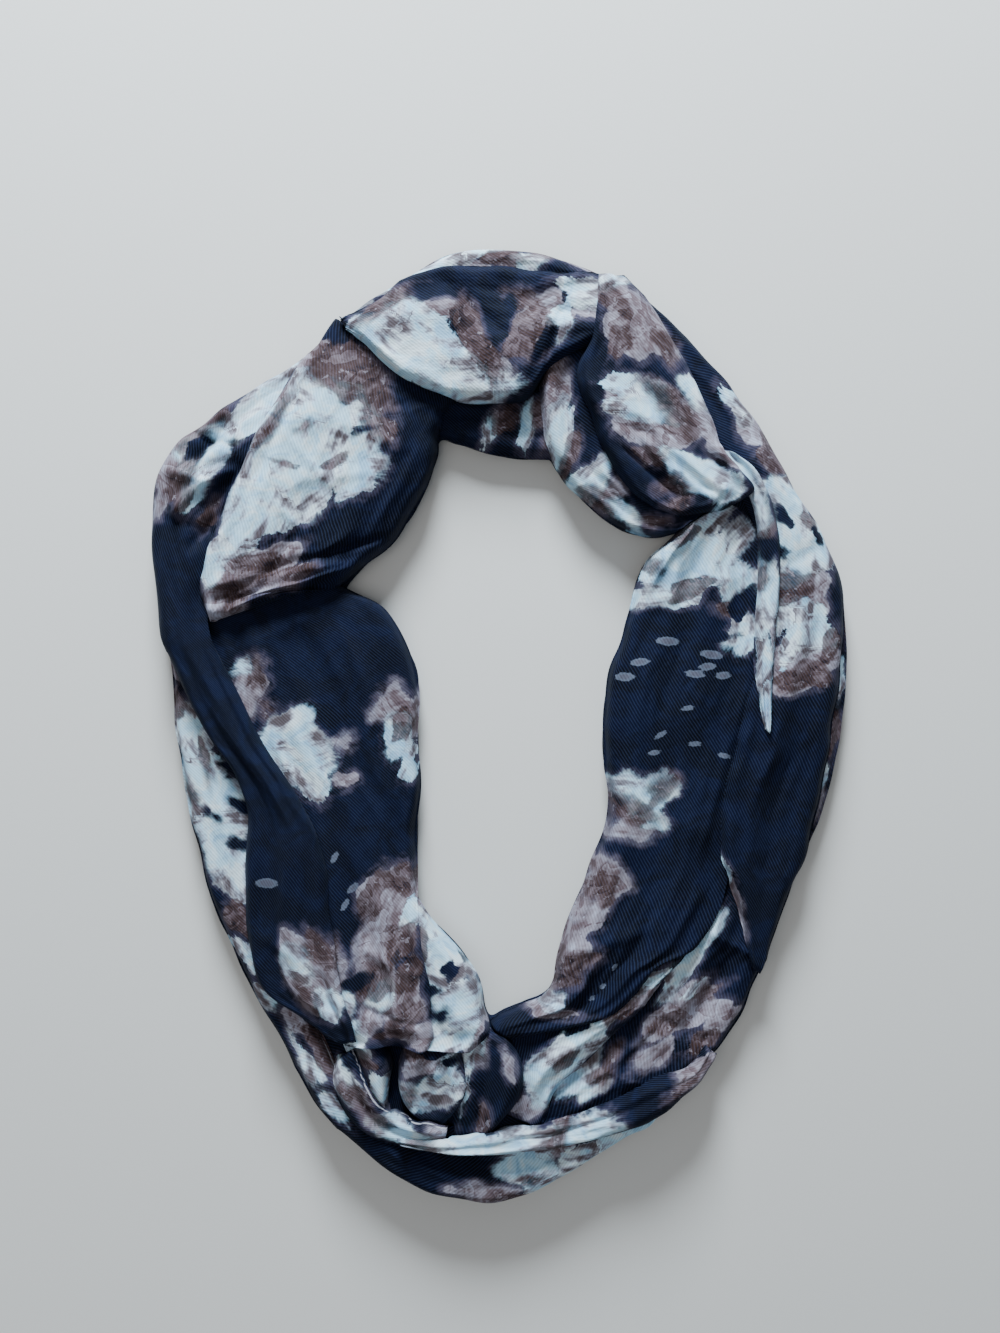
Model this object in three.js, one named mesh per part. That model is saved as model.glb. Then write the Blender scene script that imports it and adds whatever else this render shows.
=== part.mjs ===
// Infinity scarf: one loop of light cloth, gathered and dropped on a floor as a long oval ring.
// Units are millimetres, +Z is up, +Y is the far end of the ring and the floor is z = 0.
// Every stretch of cloth that shows is a thin wall of its own, and the hidden layers under them
// are one rounded solid whose two rims are layered like stacked folds.
import * as THREE from 'three';
import { mergeVertices } from 'three/addons/utils/BufferGeometryUtils.js';

// Cloth and stacking
const WALL = 1.5;
const CLEARANCE = 0.35;
const RIM_HEIGHT = 11.4;
const EDGE_HEIGHT = 13.8;
const ROLL_WIDTH = 8;
const ROLL_DROP = 22;
const INSET_REACH = 16;
const STEEPEST = 1.4;

// Mesh density
const STATION_STEP = 23;
const ACROSS_STEP = 12;
const RING_STATIONS = 60;

// Height map used to lay one stretch on another
const CELL = 2;
const MAP_HALF_X = 250;
const MAP_HALF_Y = 340;
const NOTHING = -1e6;
const SETTLE_PASSES = 50;
const SETTLED = 0.04;
const EASE = 0.35;
const STEADY_SWEEPS = 4;
const SPIKE_SLOPE = 1.6;

// Colours of the print, as seen
const NAVY = 0x26283a;
const ICE = 0xc3d6dc;
const MAUVE = 0x7a6460;
const TAUPE = 0x958580;

// The ring in plan, clockwise from the far end.
// Columns: outer x, outer y, inner x, inner y.
const RING = [
  [-3, 324, -2, 183],
  [22, 322, 13, 181],
  [47, 315, 27, 181],
  [71, 307, 34, 181],
  [94, 294, 40, 171],
  [116, 276, 52, 157],
  [138, 252, 67, 143],
  [159, 226, 84, 132],
  [177, 202, 104, 128],
  [195, 174, 120, 130],
  [210, 147, 109, 120],
  [225, 121, 97, 107],
  [234, 94, 91, 89],
  [237, 64, 87, 69],
  [237, 34, 78, 45],
  [233, -7, 71, 13],
  [222, -54, 70, -17],
  [209, -88, 73, -40],
  [198, -115, 73, -64],
  [187, -148, 66, -89],
  [172, -179, 54, -116],
  [157, -212, 43, -144],
  [134, -244, 36, -175],
  [111, -269, 30, -185],
  [79, -286, 16, -191],
  [46, -307, 3, -197],
  [18, -321, -6, -201],
  [-13, -325, -10, -195],
  [-43, -321, -13, -178],
  [-74, -306, -24, -159],
  [-101, -282, -38, -143],
  [-128, -255, -51, -130],
  [-145, -222, -56, -118],
  [-165, -190, -56, -91],
  [-187, -144, -56, -60],
  [-204, -93, -55, -27],
  [-216, -40, -56, 4],
  [-223, 7, -56, 36],
  [-226, 47, -69, 62],
  [-234, 81, -82, 80],
  [-237, 121, -99, 88],
  [-236, 155, -104, 94],
  [-225, 185, -86, 114],
  [-197, 209, -62, 139],
  [-176, 224, -51, 159],
  [-151, 239, -44, 178],
  [-126, 255, -40, 194],
  [-97, 284, -30, 192],
  [-67, 304, -20, 189],
  [-34, 320, -11, 186],
];

// Section of a rim of the hidden layers, from the floor up.
// Columns: inset from the outline, height.
const RIM = [
  [3.2, 0],
  [1.2, 1.1],
  [1.2, 2.9],
  [3.0, 3.8],
  [1.0, 4.9],
  [1.1, 6.7],
  [2.9, 7.6],
  [1.3, 8.7],
  [1.6, 10.3],
  [4.2, RIM_HEIGHT],
];
const CORE_ACROSS = 10;
const LOWEST_FILL = 8;

// The stretches, lowest first. Each has two long edges, a and b, given row by row.
// Row columns: ax, ay, bx, by, height at a, height at b.
// freeA and freeB give the share of the length, 0 to 1, where that edge rolls down in sight;
// elsewhere the edge runs on under its neighbour. startRoll and endRoll are the lengths over
// which an end rolls down. crown is the extra height midway across.
// Fold columns: start along, start across, end along, end across (shares), height, half width.
const STRETCHES = [
  {
    name: 'lower_left_under_fold',
    colour: NAVY,
    crown: 2,
    rows: [
      [-168, -158, -144, -151, 18, 20],
      [-160, -185, -131, -171, 18, 20],
      [-144, -215, -118, -192, 19, 21],
      [-134, -239, -97, -212, 19, 21],
      [-122, -259, -94, -242, 19, 21],
      [-104, -276, -86, -259, 19, 21],
      [-77, -286, -71, -265, 18, 20],
    ],
  },
  {
    name: 'outer_left_and_bottom_strip',
    colour: ICE,
    crown: 2,
    freeA: [0, 1],
    freeB: [0.42, 0.66],
    rows: [
      [-230, 65, -216, 57, 20, 18],
      [-224, 34, -208, 24, 21, 18],
      [-222, -3, -188, -7, 22, 18],
      [-215, -44, -163, -44, 23, 19],
      [-208, -79, -160, -79, 23, 19],
      [-197, -121, -160, -118, 23, 19],
      [-183, -152, -156, -148, 23, 20],
      [-167, -187, -144, -175, 24, 22],
      [-145, -222, -122, -206, 25, 26],
      [-125, -258, -106, -240, 26, 28],
      [-101, -284, -86, -262, 27, 28],
      [-67, -310, -57, -265, 27, 26],
      [-28, -325, -26, -272, 27, 25],
      [13, -322, 7, -272, 27, 25],
      [46, -307, 38, -269, 26, 24],
      [79, -286, 73, -259, 25, 22],
      [103, -274, 97, -249, 24, 20],
      [122, -253, 116, -242, 21, 18],
    ],
    folds: [
      [0.55, 0.35, 0.95, 0.4, 2.5, 9],
      [0.12, 0.55, 0.4, 0.45, 2, 7],
    ],
  },
  {
    name: 'outer_right_under_edge',
    colour: MAUVE,
    crown: 0.5,
    freeB: [0, 1],
    rows: [
      [222, 92, 235, 88, 16, 16],
      [218, 40, 237, 40, 17, 17],
      [213, 3, 234, 2, 17, 17],
      [206, -30, 228, -32, 17, 17],
      [198, -63, 218, -66, 16, 16],
      [192, -88, 208, -90, 15, 15],
    ],
  },
  {
    name: 'top_under_layer',
    colour: NAVY,
    crown: 1,
    freeB: [0, 1],
    rows: [
      [-50, 226, -42, 196, 20, 19],
      [-27, 224, -25, 191, 20, 19],
      [-7, 224, -9, 185, 20, 19],
      [10, 224, 8, 182, 20, 19],
      [27, 226, 22, 181, 20, 19],
      [46, 222, 36, 180, 20, 19],
    ],
    folds: [[0.1, 0.6, 0.85, 0.45, 2.2, 6]],
  },
  {
    name: 'lower_right_panel',
    colour: MAUVE,
    crown: 1,
    freeB: [0.3, 0.75],
    startRoll: 12,
    rows: [
      [138, -84, 161, -84, 20, 22],
      [134, -111, 169, -114, 20, 22],
      [124, -134, 178, -141, 19, 22],
      [111, -155, 180, -161, 19, 22],
      [97, -175, 170, -184, 19, 22],
      [82, -193, 160, -207, 19, 23],
      [66, -208, 146, -226, 19, 23],
      [50, -224, 128, -244, 20, 22],
      [37, -239, 101, -255, 21, 22],
      [24, -252, 67, -269, 22, 22],
      [13, -262, 40, -274, 22, 22],
    ],
    folds: [
      [0.12, 0.4, 0.5, 0.42, 6, 8],
      [0.5, 0.62, 0.95, 0.5, 5, 11],
    ],
  },
  {
    name: 'lower_right_ridge',
    colour: ICE,
    crown: 2,
    freeB: [0, 1],
    startRoll: 10,
    rows: [
      [122, -134, 134, -144, 26, 27],
      [104, -158, 123, -159, 26, 28],
      [89, -175, 110, -173, 26, 29],
      [74, -187, 94, -194, 26, 29],
      [57, -193, 79, -209, 26, 29],
      [37, -195, 63, -224, 26, 30],
      [17, -204, 46, -240, 26, 30],
      [5, -218, 34, -251, 26, 29],
      [2, -242, 32, -263, 25, 27],
      [0, -262, 27, -272, 22, 24],
    ],
    folds: [[0.45, 0.3, 0.9, 0.35, -3, 7]],
  },
  {
    name: 'inner_right_panel',
    colour: NAVY,
    crown: 3,
    freeA: [0, 1],
    freeB: [0.7, 1],
    startRoll: 6,
    endRoll: 8,
    rows: [
      [122, 132, 150, 150, 27, 28],
      [113, 123, 165, 141, 27, 29],
      [98, 108, 180, 119, 26, 28],
      [90, 87, 181, 91, 25, 27],
      [85, 64, 180, 64, 25, 26],
      [76, 40, 178, 36, 25, 26],
      [71, 9, 173, 9, 25, 26],
      [70, -17, 167, -20, 24, 25],
      [73, -40, 160, -47, 24, 25],
      [73, -64, 155, -74, 24, 25],
      [62, -95, 153, -101, 25, 25],
      [51, -121, 149, -121, 26, 27],
      [42, -148, 134, -149, 27, 30],
      [36, -175, 106, -163, 27, 33],
      [30, -185, 81, -190, 28, 33],
      [16, -191, 50, -202, 28, 33],
      [3, -197, 22, -209, 28, 32],
      [-8, -203, 3, -214, 26, 28],
    ],
    folds: [
      [0.02, 0.5, 0.4, 0.62, 3.5, 13],
      [0.25, 0.25, 0.62, 0.2, 2.5, 9],
      [0.4, 0.75, 0.75, 0.6, 3.2, 11],
      [0.72, 0.45, 0.95, 0.5, -3.5, 8],
    ],
  },
  {
    name: 'twist_fold',
    colour: NAVY,
    crown: 3,
    freeB: [0, 1],
    startRoll: 8,
    rows: [
      [-26, -205, -10, -204, 28, 29],
      [-31, -213, 4, -211, 30, 33],
      [-31, -225, 13, -222, 31, 35],
      [-30, -239, 16, -233, 31, 36],
      [-32, -252, 13, -249, 30, 35],
      [-32, -265, 5, -263, 28, 32],
      [-31, -280, -7, -277, 24, 26],
    ],
    folds: [[0.25, 0.42, 0.98, 0.5, -5, 5]],
  },
  {
    name: 'bowl_fold',
    colour: ICE,
    crown: 1,
    freeA: [0, 1],
    freeB: [0, 1],
    endRoll: 9,
    rows: [
      [-61, -203, -34, -203, 33, 34],
      [-65, -218, -26, -218, 35, 37],
      [-69, -232, -23, -233, 34, 38],
      [-70, -245, -24, -247, 33, 37],
      [-66, -257, -31, -260, 31, 34],
      [-54, -268, -36, -270, 28, 29],
    ],
    folds: [[0.45, 0.5, 0.9, 0.5, -5, 10]],
  },
  {
    name: 'inner_left_lobe',
    colour: ICE,
    crown: 3,
    freeB: [0, 1],
    startRoll: 8,
    endRoll: 8,
    rows: [
      [-66, -114, -56, -118, 24, 24],
      [-66, -134, -46, -134, 27, 28],
      [-64, -155, -28, -154, 30, 31],
      [-61, -175, -15, -173, 33, 33],
      [-58, -192, -10, -192, 36, 35],
      [-54, -206, -7, -205, 39, 36],
      [-50, -216, -20, -218, 38, 38],
    ],
    folds: [[0.2, 0.4, 0.85, 0.55, 2.5, 9]],
  },
  {
    name: 'lower_left_roll',
    colour: ICE,
    crown: 2,
    freeB: [0, 1],
    endRoll: 5,
    rows: [
      [-113, -195, -82, -196, 28, 32],
      [-107, -212, -78, -215, 28, 33],
      [-101, -226, -74, -230, 28, 33],
      [-95, -240, -75, -244, 28, 32],
      [-87, -252, -76, -257, 28, 30],
      [-80, -261, -73, -264, 26, 27],
    ],
    folds: [[0.1, 0.55, 0.8, 0.6, 2.5, 7]],
  },
  {
    name: 'hem_band',
    colour: MAUVE,
    crown: 2,
    freeA: [0, 1],
    freeB: [0, 1],
    startRoll: 7,
    rows: [
      [-110, -224, -98, -217, 32, 32],
      [-112, -239, -90, -237, 31, 33],
      [-104, -259, -81, -253, 31, 33],
      [-93, -272, -71, -261, 31, 33],
      [-77, -280, -59, -265, 31, 34],
      [-59, -284, -47, -266, 31, 34],
      [-38, -283, -35, -270, 29, 31],
    ],
    folds: [[0.2, 0.5, 0.8, 0.45, -2, 5]],
  },
  {
    name: 'inner_left_panel',
    colour: NAVY,
    crown: 2,
    freeB: [0, 1],
    endRoll: 9,
    rows: [
      [-198, 94, -114, 99, 26, 24],
      [-205, 74, -99, 89, 26, 24],
      [-202, 57, -77, 77, 26, 25],
      [-192, 34, -62, 50, 27, 25],
      [-180, 7, -55, 24, 27, 25],
      [-165, -20, -56, -10, 27, 25],
      [-151, -47, -55, -44, 27, 25],
      [-136, -74, -56, -77, 27, 25],
      [-128, -104, -56, -108, 28, 27],
      [-124, -134, -55, -131, 29, 31],
      [-122, -161, -50, -161, 31, 34],
      [-121, -185, -46, -188, 33, 37],
      [-116, -204, -44, -205, 35, 40],
      [-104, -215, -50, -217, 35, 40],
    ],
    folds: [
      [0.2, 0.72, 0.62, 0.74, 3.2, 8],
      [0.3, 0.35, 0.6, 0.45, 2.5, 14],
      [0.66, 0.5, 0.98, 0.6, -5, 9],
      [0.74, 0.8, 0.99, 0.8, 3, 9],
      [0.74, 0.25, 0.98, 0.32, 3, 9],
    ],
  },
  {
    name: 'outer_left_roll',
    colour: NAVY,
    crown: 3,
    freeA: [0, 1],
    freeB: [0.48, 1],
    endRoll: 8,
    rows: [
      [-126, 255, -106, 232, 26, 28],
      [-151, 239, -126, 212, 27, 29],
      [-176, 224, -142, 194, 28, 29],
      [-198, 208, -156, 172, 28, 30],
      [-220, 192, -167, 149, 28, 30],
      [-234, 166, -177, 126, 28, 30],
      [-238, 131, -184, 103, 28, 30],
      [-235, 97, -194, 81, 29, 31],
      [-231, 64, -193, 57, 30, 33],
      [-222, 41, -180, 28, 31, 34],
      [-204, 2, -160, -11, 32, 35],
      [-185, -24, -137, -47, 33, 36],
      [-173, -50, -125, -69, 33, 36],
      [-171, -81, -118, -92, 33, 36],
      [-172, -114, -114, -121, 33, 36],
      [-169, -148, -110, -151, 33, 36],
      [-160, -178, -106, -178, 34, 37],
      [-135, -196, -99, -195, 35, 38],
      [-111, -213, -93, -210, 35, 38],
    ],
    folds: [
      [0.16, 0.45, 0.27, 0.3, 5, 6],
      [0.18, 0.75, 0.27, 0.62, -7, 7],
      [0.25, 0.5, 0.5, 0.5, 3.5, 10],
      [0.55, 0.35, 0.95, 0.3, -3, 9],
    ],
  },
  {
    name: 'upper_left_flap',
    colour: TAUPE,
    crown: 4,
    freeA: [0, 1],
    freeB: [0, 1],
    endRoll: 12,
    rows: [
      [-113, 275, -30, 218, 30, 26],
      [-123, 256, -38, 210, 33, 27],
      [-132, 247, -40, 202, 35, 28],
      [-146, 225, -42, 192, 36, 28],
      [-160, 200, -44, 178, 37, 28],
      [-171, 177, -51, 159, 37, 28],
      [-181, 155, -62, 139, 37, 28],
      [-190, 134, -77, 120, 37, 28],
      [-197, 116, -94, 107, 37, 29],
      [-200, 96, -111, 92, 37, 30],
      [-198, 81, -134, 89, 36, 32],
      [-194, 69, -160, 80, 34, 33],
    ],
    folds: [
      [0.15, 0.3, 0.75, 0.25, 3, 14],
      [0.2, 0.8, 0.7, 0.7, 3, 11],
      [0.72, 0.6, 0.92, 0.1, -5, 6],
    ],
  },
  {
    name: 'bottom_band',
    colour: ICE,
    crown: 4,
    freeA: [0, 1],
    freeB: [0, 1],
    startRoll: 8,
    endRoll: 8,
    rows: [
      [147, -224, 139, -217, 25, 26],
      [138, -240, 126, -231, 28, 30],
      [122, -255, 103, -239, 30, 32],
      [103, -267, 79, -252, 31, 33],
      [81, -274, 54, -261, 31, 33],
      [56, -280, 30, -268, 32, 34],
      [32, -285, 3, -271, 33, 35],
      [0, -288, -24, -276, 33, 36],
      [-34, -288, -45, -277, 33, 35],
      [-66, -280, -69, -276, 31, 32],
    ],
  },
  {
    name: 'outer_right_panel',
    colour: NAVY,
    crown: 3,
    freeA: [0.58, 1],
    freeB: [0, 1],
    endRoll: 8,
    rows: [
      [67, 284, 85, 302, 28, 25],
      [82, 267, 104, 286, 30, 26],
      [100, 247, 125, 267, 31, 27],
      [117, 223, 144, 245, 31, 27],
      [131, 200, 165, 220, 31, 27],
      [146, 173, 183, 194, 31, 27],
      [163, 149, 202, 159, 31, 27],
      [174, 127, 219, 131, 30, 27],
      [177, 97, 232, 101, 30, 26],
      [176, 64, 235, 67, 29, 25],
      [171, 34, 231, 36, 29, 25],
      [163, 5, 227, 2, 30, 25],
      [158, -20, 222, -29, 30, 25],
      [151, -50, 215, -64, 30, 25],
      [148, -84, 206, -96, 30, 25],
      [155, -104, 198, -116, 29, 25],
      [163, -134, 188, -143, 28, 24],
      [169, -163, 177, -170, 25, 24],
    ],
    folds: [
      [0.2, 0.5, 0.75, 0.42, 3, 11],
      [0.38, 0.8, 0.7, 0.75, 2.5, 9],
      [0.55, 0.25, 0.95, 0.3, 2.5, 8],
    ],
  },
  {
    name: 'narrow_right_roll',
    colour: ICE,
    crown: 2,
    freeA: [0, 1],
    freeB: [0, 1],
    startRoll: 8,
    endRoll: 5,
    rows: [
      [143, 186, 156, 181, 30, 30],
      [153, 173, 169, 172, 33, 33],
      [163, 158, 179, 155, 35, 35],
      [170, 142, 185, 134, 35, 35],
      [173, 118, 187, 116, 35, 35],
      [173, 91, 187, 91, 34, 34],
      [171, 64, 185, 60, 34, 34],
      [171, 36, 182, 31, 32, 32],
      [174, 13, 181, 9, 30, 30],
      [177, -3, 180, -6, 27, 27],
    ],
  },
  {
    name: 'inner_upper_roll',
    colour: MAUVE,
    crown: 2,
    freeA: [0, 1],
    startRoll: 9,
    rows: [
      [31, 251, 57, 256, 30, 30],
      [27, 229, 60, 236, 30, 29],
      [29, 205, 67, 215, 29, 28],
      [34, 183, 75, 192, 28, 28],
      [44, 165, 84, 171, 28, 28],
      [61, 149, 97, 159, 28, 29],
      [79, 135, 113, 151, 28, 30],
      [99, 127, 128, 146, 29, 31],
      [118, 129, 138, 143, 30, 31],
    ],
    folds: [[0.05, 0.45, 0.9, 0.5, -3, 8]],
  },
  {
    name: 'top_outer_strip',
    colour: ICE,
    crown: 1,
    freeA: [0, 1],
    startRoll: 8,
    rows: [
      [-108, 274, -98, 262, 22, 24],
      [-98, 283, -87, 269, 24, 26],
      [-79, 295, -67, 279, 25, 26],
      [-58, 308, -47, 288, 25, 26],
      [-34, 321, -28, 294, 25, 26],
      [-3, 324, -1, 294, 25, 26],
      [24, 322, 20, 294, 25, 26],
      [47, 315, 40, 290, 25, 26],
      [68, 307, 62, 287, 25, 26],
      [84, 302, 74, 284, 25, 26],
    ],
  },
  {
    name: 'top_flap',
    colour: ICE,
    crown: 5,
    freeA: [0, 1],
    freeB: [0, 1],
    startRoll: 9,
    endRoll: 6,
    rows: [
      [-107, 271, -103, 265, 31, 32],
      [-99, 277, -92, 256, 31, 33],
      [-82, 287, -79, 243, 31, 35],
      [-66, 299, -60, 230, 31, 36],
      [-43, 308, -40, 222, 31, 36],
      [-20, 310, -20, 216, 31, 36],
      [3, 308, 1, 217, 31, 36],
      [24, 305, 19, 221, 31, 36],
      [40, 304, 34, 240, 31, 36],
      [57, 304, 54, 252, 31, 36],
      [75, 302, 73, 256, 30, 34],
    ],
    folds: [
      [0.05, 0.55, 0.5, 0.3, 3, 11],
      [0.3, 0.75, 0.85, 0.55, 3, 12],
      [0.55, 0.2, 0.95, 0.3, -3, 9],
    ],
  },
  {
    name: 'upper_right_big_fold',
    colour: MAUVE,
    crown: 5,
    freeA: [0, 1],
    freeB: [0, 1],
    startRoll: 9,
    endRoll: 10,
    rows: [
      [66, 301, 83, 302, 28, 28],
      [65, 281, 98, 287, 36, 33],
      [61, 260, 113, 263, 38, 35],
      [53, 243, 126, 238, 38, 36],
      [54, 224, 137, 217, 38, 37],
      [62, 206, 144, 198, 38, 37],
      [69, 187, 149, 181, 37, 38],
      [80, 166, 159, 170, 36, 38],
      [96, 149, 168, 156, 35, 38],
      [120, 139, 150, 144, 34, 36],
    ],
    folds: [
      [0.12, 0.25, 0.6, 0.3, 3.5, 10],
      [0.3, 0.75, 0.95, 0.8, 4, 10],
      [0.35, 0.52, 0.85, 0.55, -5, 10],
    ],
  },
];

// One value on a smooth curve through the values p0 to p3, between p1 and p2.
function catmull(p0, p1, p2, p3, t) {
  const a = 2 * p1;
  const b = p2 - p0;
  const c = 2 * p0 - 5 * p1 + 4 * p2 - p3;
  const d = 3 * p1 - p0 - 3 * p2 + p3;
  return 0.5 * (a + t * (b + t * (c + t * d)));
}

// The table row at share s of an open table, every column on its own smooth curve.
function rowAt(rows, s) {
  const last = rows.length - 1;
  const place = Math.min(s * last, last - 1e-9);
  const i = Math.floor(place);
  const pick = (k) => rows[Math.max(0, Math.min(last, k))];
  return rows[0].map((_, c) =>
    catmull(pick(i - 1)[c], pick(i)[c], pick(i + 1)[c], pick(i + 2)[c], place - i));
}

// The same for a table that closes on itself.
function loopRowAt(rows, s) {
  const count = rows.length;
  const place = ((s % 1) + 1) % 1 * count;
  const i = Math.floor(place);
  const pick = (k) => rows[(k + count) % count];
  return rows[0].map((_, c) =>
    catmull(pick(i - 1)[c], pick(i)[c], pick(i + 1)[c], pick(i + 2)[c], place - i));
}

function smooth(low, high, x) {
  const t = Math.max(0, Math.min(1, (x - low) / (high - low)));
  return t * t * (3 - 2 * t);
}

// 1 where s lies in the range, falling to 0 just outside it.
function inRange(range, s) {
  const soft = 0.04;
  if (!range) {
    return 0;
  }
  const rise = range[0] <= 0 ? 1 : smooth(range[0] - soft, range[0] + soft, s);
  const fall = range[1] >= 1 ? 1 : 1 - smooth(range[1] - soft, range[1] + soft, s);
  return rise * fall;
}

// How far a rolled edge has dropped, as a share, at a distance in from the edge.
function rollShare(distance, width) {
  const x = Math.max(0, 1 - distance / width);
  return 1 - Math.sqrt(Math.max(0, 1 - x * x));
}

// Shares of the length where the stations stand, closer together where an end rolls down.
function stationShares(count, startRoll, endRoll) {
  const shares = [0];
  if (startRoll > 0) {
    shares.push(0.2 * startRoll, 0.55 * startRoll);
  }
  const from = startRoll;
  const to = 1 - endRoll;
  for (let i = startRoll > 0 ? 0 : 1; i < count; i += 1) {
    shares.push(from + (to - from) * i / (count - 1));
  }
  if (endRoll > 0) {
    shares.push(1 - 0.55 * endRoll, 1 - 0.2 * endRoll, 1);
  }
  return shares;
}

// Top surface of a stretch before it is laid on the ones below it: a grid of points.
function shapeTop(stretch) {
  const { rows, folds = [], startRoll = 0, endRoll = 0 } = stretch;
  const middles = rows.map((r) => [(r[0] + r[2]) / 2, (r[1] + r[3]) / 2]);
  let length = 0;
  let width = 0;
  for (let i = 0; i < rows.length; i += 1) {
    width += Math.hypot(rows[i][2] - rows[i][0], rows[i][3] - rows[i][1]) / rows.length;
    if (i > 0) {
      length += Math.hypot(middles[i][0] - middles[i - 1][0], middles[i][1] - middles[i - 1][1]);
    }
  }
  const stations = Math.max(7, Math.round(length / STATION_STEP) + 1);
  const inner = Math.max(3, Math.round(width / ACROSS_STEP));
  const roll = Math.min(0.32, ROLL_WIDTH / width);
  const shares = [0, 0.1 * roll, 0.4 * roll];
  for (let k = 0; k <= inner; k += 1) {
    shares.push(roll + (1 - 2 * roll) * k / inner);
  }
  shares.push(1 - 0.4 * roll, 1 - 0.1 * roll, 1);
  const grid = [];
  for (const s of stationShares(stations, startRoll / length, endRoll / length)) {
    const [ax, ay, bx, by, za, zb] = rowAt(rows, s);
    const across = Math.hypot(bx - ax, by - ay);
    const rollWidth = Math.min(ROLL_WIDTH, 0.34 * across);
    const line = shares.map((t) => {
      let z = za + (zb - za) * t + stretch.crown * 4 * t * (1 - t);
      for (const [s0, t0, s1, t1, height, half] of folds) {
        const along = (s - s0) / (s1 - s0);
        const fade = smooth(-0.12, 0.2, along) * (1 - smooth(0.8, 1.12, along));
        const centre = t0 + (t1 - t0) * Math.max(0, Math.min(1, along));
        const gap = (t - centre) * across / half;
        z += height * fade * Math.exp(-gap * gap);
      }
      z -= ROLL_DROP * inRange(stretch.freeA, s) * rollShare(t * across, rollWidth);
      z -= ROLL_DROP * inRange(stretch.freeB, s) * rollShare((1 - t) * across, rollWidth);
      if (startRoll) {
        z -= ROLL_DROP * rollShare(s * length, startRoll);
      }
      if (endRoll) {
        z -= ROLL_DROP * rollShare((1 - s) * length, endRoll);
      }
      return new THREE.Vector3(ax + (bx - ax) * t, ay + (by - ay) * t, Math.max(z, EDGE_HEIGHT));
    });
    grid.push(line);
  }
  return grid;
}

// Distance in plan along the middle column of a grid, up to each station.
function distancesAlong(grid) {
  const middle = Math.floor(grid[0].length / 2);
  const distances = [0];
  for (let i = 1; i < grid.length; i += 1) {
    const [p, q] = [grid[i - 1][middle], grid[i][middle]];
    distances.push(distances[i - 1] + Math.hypot(q.x - p.x, q.y - p.y));
  }
  return distances;
}

// How far a point of the inner face stands in from an end or edge, fading away from it.
function insetShare(distance, total) {
  const fade = (d) => Math.max(0, 1 - d / INSET_REACH);
  return WALL * (fade(distance) - fade(total - distance));
}

// The inner face of the wall: every point moved down, more where the cloth is steep, and moved
// in from the four edges.
function shapeUnder(grid) {
  const rows = grid.length;
  const columns = grid[0].length;
  const distances = distancesAlong(grid);
  const along = new THREE.Vector3();
  const across = new THREE.Vector3();
  return grid.map((line, i) => {
    const chord = new THREE.Vector3().subVectors(line[columns - 1], line[0]).setZ(0);
    const width = chord.length();
    chord.normalize();
    return line.map((point, j) => {
      along.subVectors(grid[Math.min(rows - 1, i + 1)][j], grid[Math.max(0, i - 1)][j]);
      across.subVectors(line[Math.min(columns - 1, j + 1)], line[Math.max(0, j - 1)]);
      const normal = new THREE.Vector3().crossVectors(along, across).normalize();
      const drop = WALL * Math.min(STEEPEST, 1 / Math.max(1e-3, Math.abs(normal.z)));
      const moved = point.clone();
      moved.addScaledVector(along.setZ(0).normalize(), insetShare(distances[i], distances[rows - 1]));
      const share = chord.dot(new THREE.Vector3().subVectors(point, line[0])) / width;
      moved.addScaledVector(chord, WALL * (1 - 2 * share));
      moved.z = Math.max(point.z - drop, Math.min(point.z, EDGE_HEIGHT) - WALL);
      return moved;
    });
  });
}

// Calls visit(x, y, z, corners, weights) at points spread over every triangle of a grid.
function sampleGrid(grid, step, visit) {
  for (let i = 0; i + 1 < grid.length; i += 1) {
    for (let j = 0; j + 1 < grid[0].length; j += 1) {
      const quad = [[i, j], [i + 1, j], [i + 1, j + 1], [i, j + 1]];
      for (const corners of [[quad[0], quad[1], quad[2]], [quad[0], quad[2], quad[3]]]) {
        const [a, b, c] = corners.map(([m, n]) => grid[m][n]);
        const size = Math.max(a.distanceTo(b), b.distanceTo(c), c.distanceTo(a));
        const parts = Math.max(1, Math.ceil(size / step));
        for (let p = 0; p <= parts; p += 1) {
          for (let q = 0; q <= parts - p; q += 1) {
            const wa = p / parts;
            const wb = q / parts;
            const wc = 1 - wa - wb;
            visit(
              a.x * wa + b.x * wb + c.x * wc,
              a.y * wa + b.y * wb + c.y * wc,
              a.z * wa + b.z * wb + c.z * wc,
              corners,
              [wa, wb, wc],
            );
          }
        }
      }
    }
  }
}

// Heights kept on a square grid of cells in plan.
class HeightMap {
  constructor(start) {
    this.columns = Math.ceil(2 * MAP_HALF_X / CELL);
    this.rows = Math.ceil(2 * MAP_HALF_Y / CELL);
    this.start = start;
    this.heights = new Float64Array(this.columns * this.rows).fill(start);
  }

  put(x, y, z, better) {
    const i = Math.floor((x + MAP_HALF_X) / CELL);
    const j = Math.floor((y + MAP_HALF_Y) / CELL);
    const k = j * this.columns + i;
    if (this.heights[k] === this.start || better(z, this.heights[k])) {
      this.heights[k] = z;
    }
  }

  // The best height in the cell under a point and the cells round it.
  read(x, y, better) {
    const i = Math.floor((x + MAP_HALF_X) / CELL);
    const j = Math.floor((y + MAP_HALF_Y) / CELL);
    let found = this.start;
    for (let m = j - 1; m <= j + 1; m += 1) {
      for (let n = i - 1; n <= i + 1; n += 1) {
        const z = this.heights[m * this.columns + n];
        if (z !== this.start && (found === this.start || better(z, found))) {
          found = z;
        }
      }
    }
    return found;
  }
}

const higher = (a, b) => a > b;
const lower = (a, b) => a < b;
const topsSoFar = new HeightMap(NOTHING);
const lowestUnder = new HeightMap(NOTHING);

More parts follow.
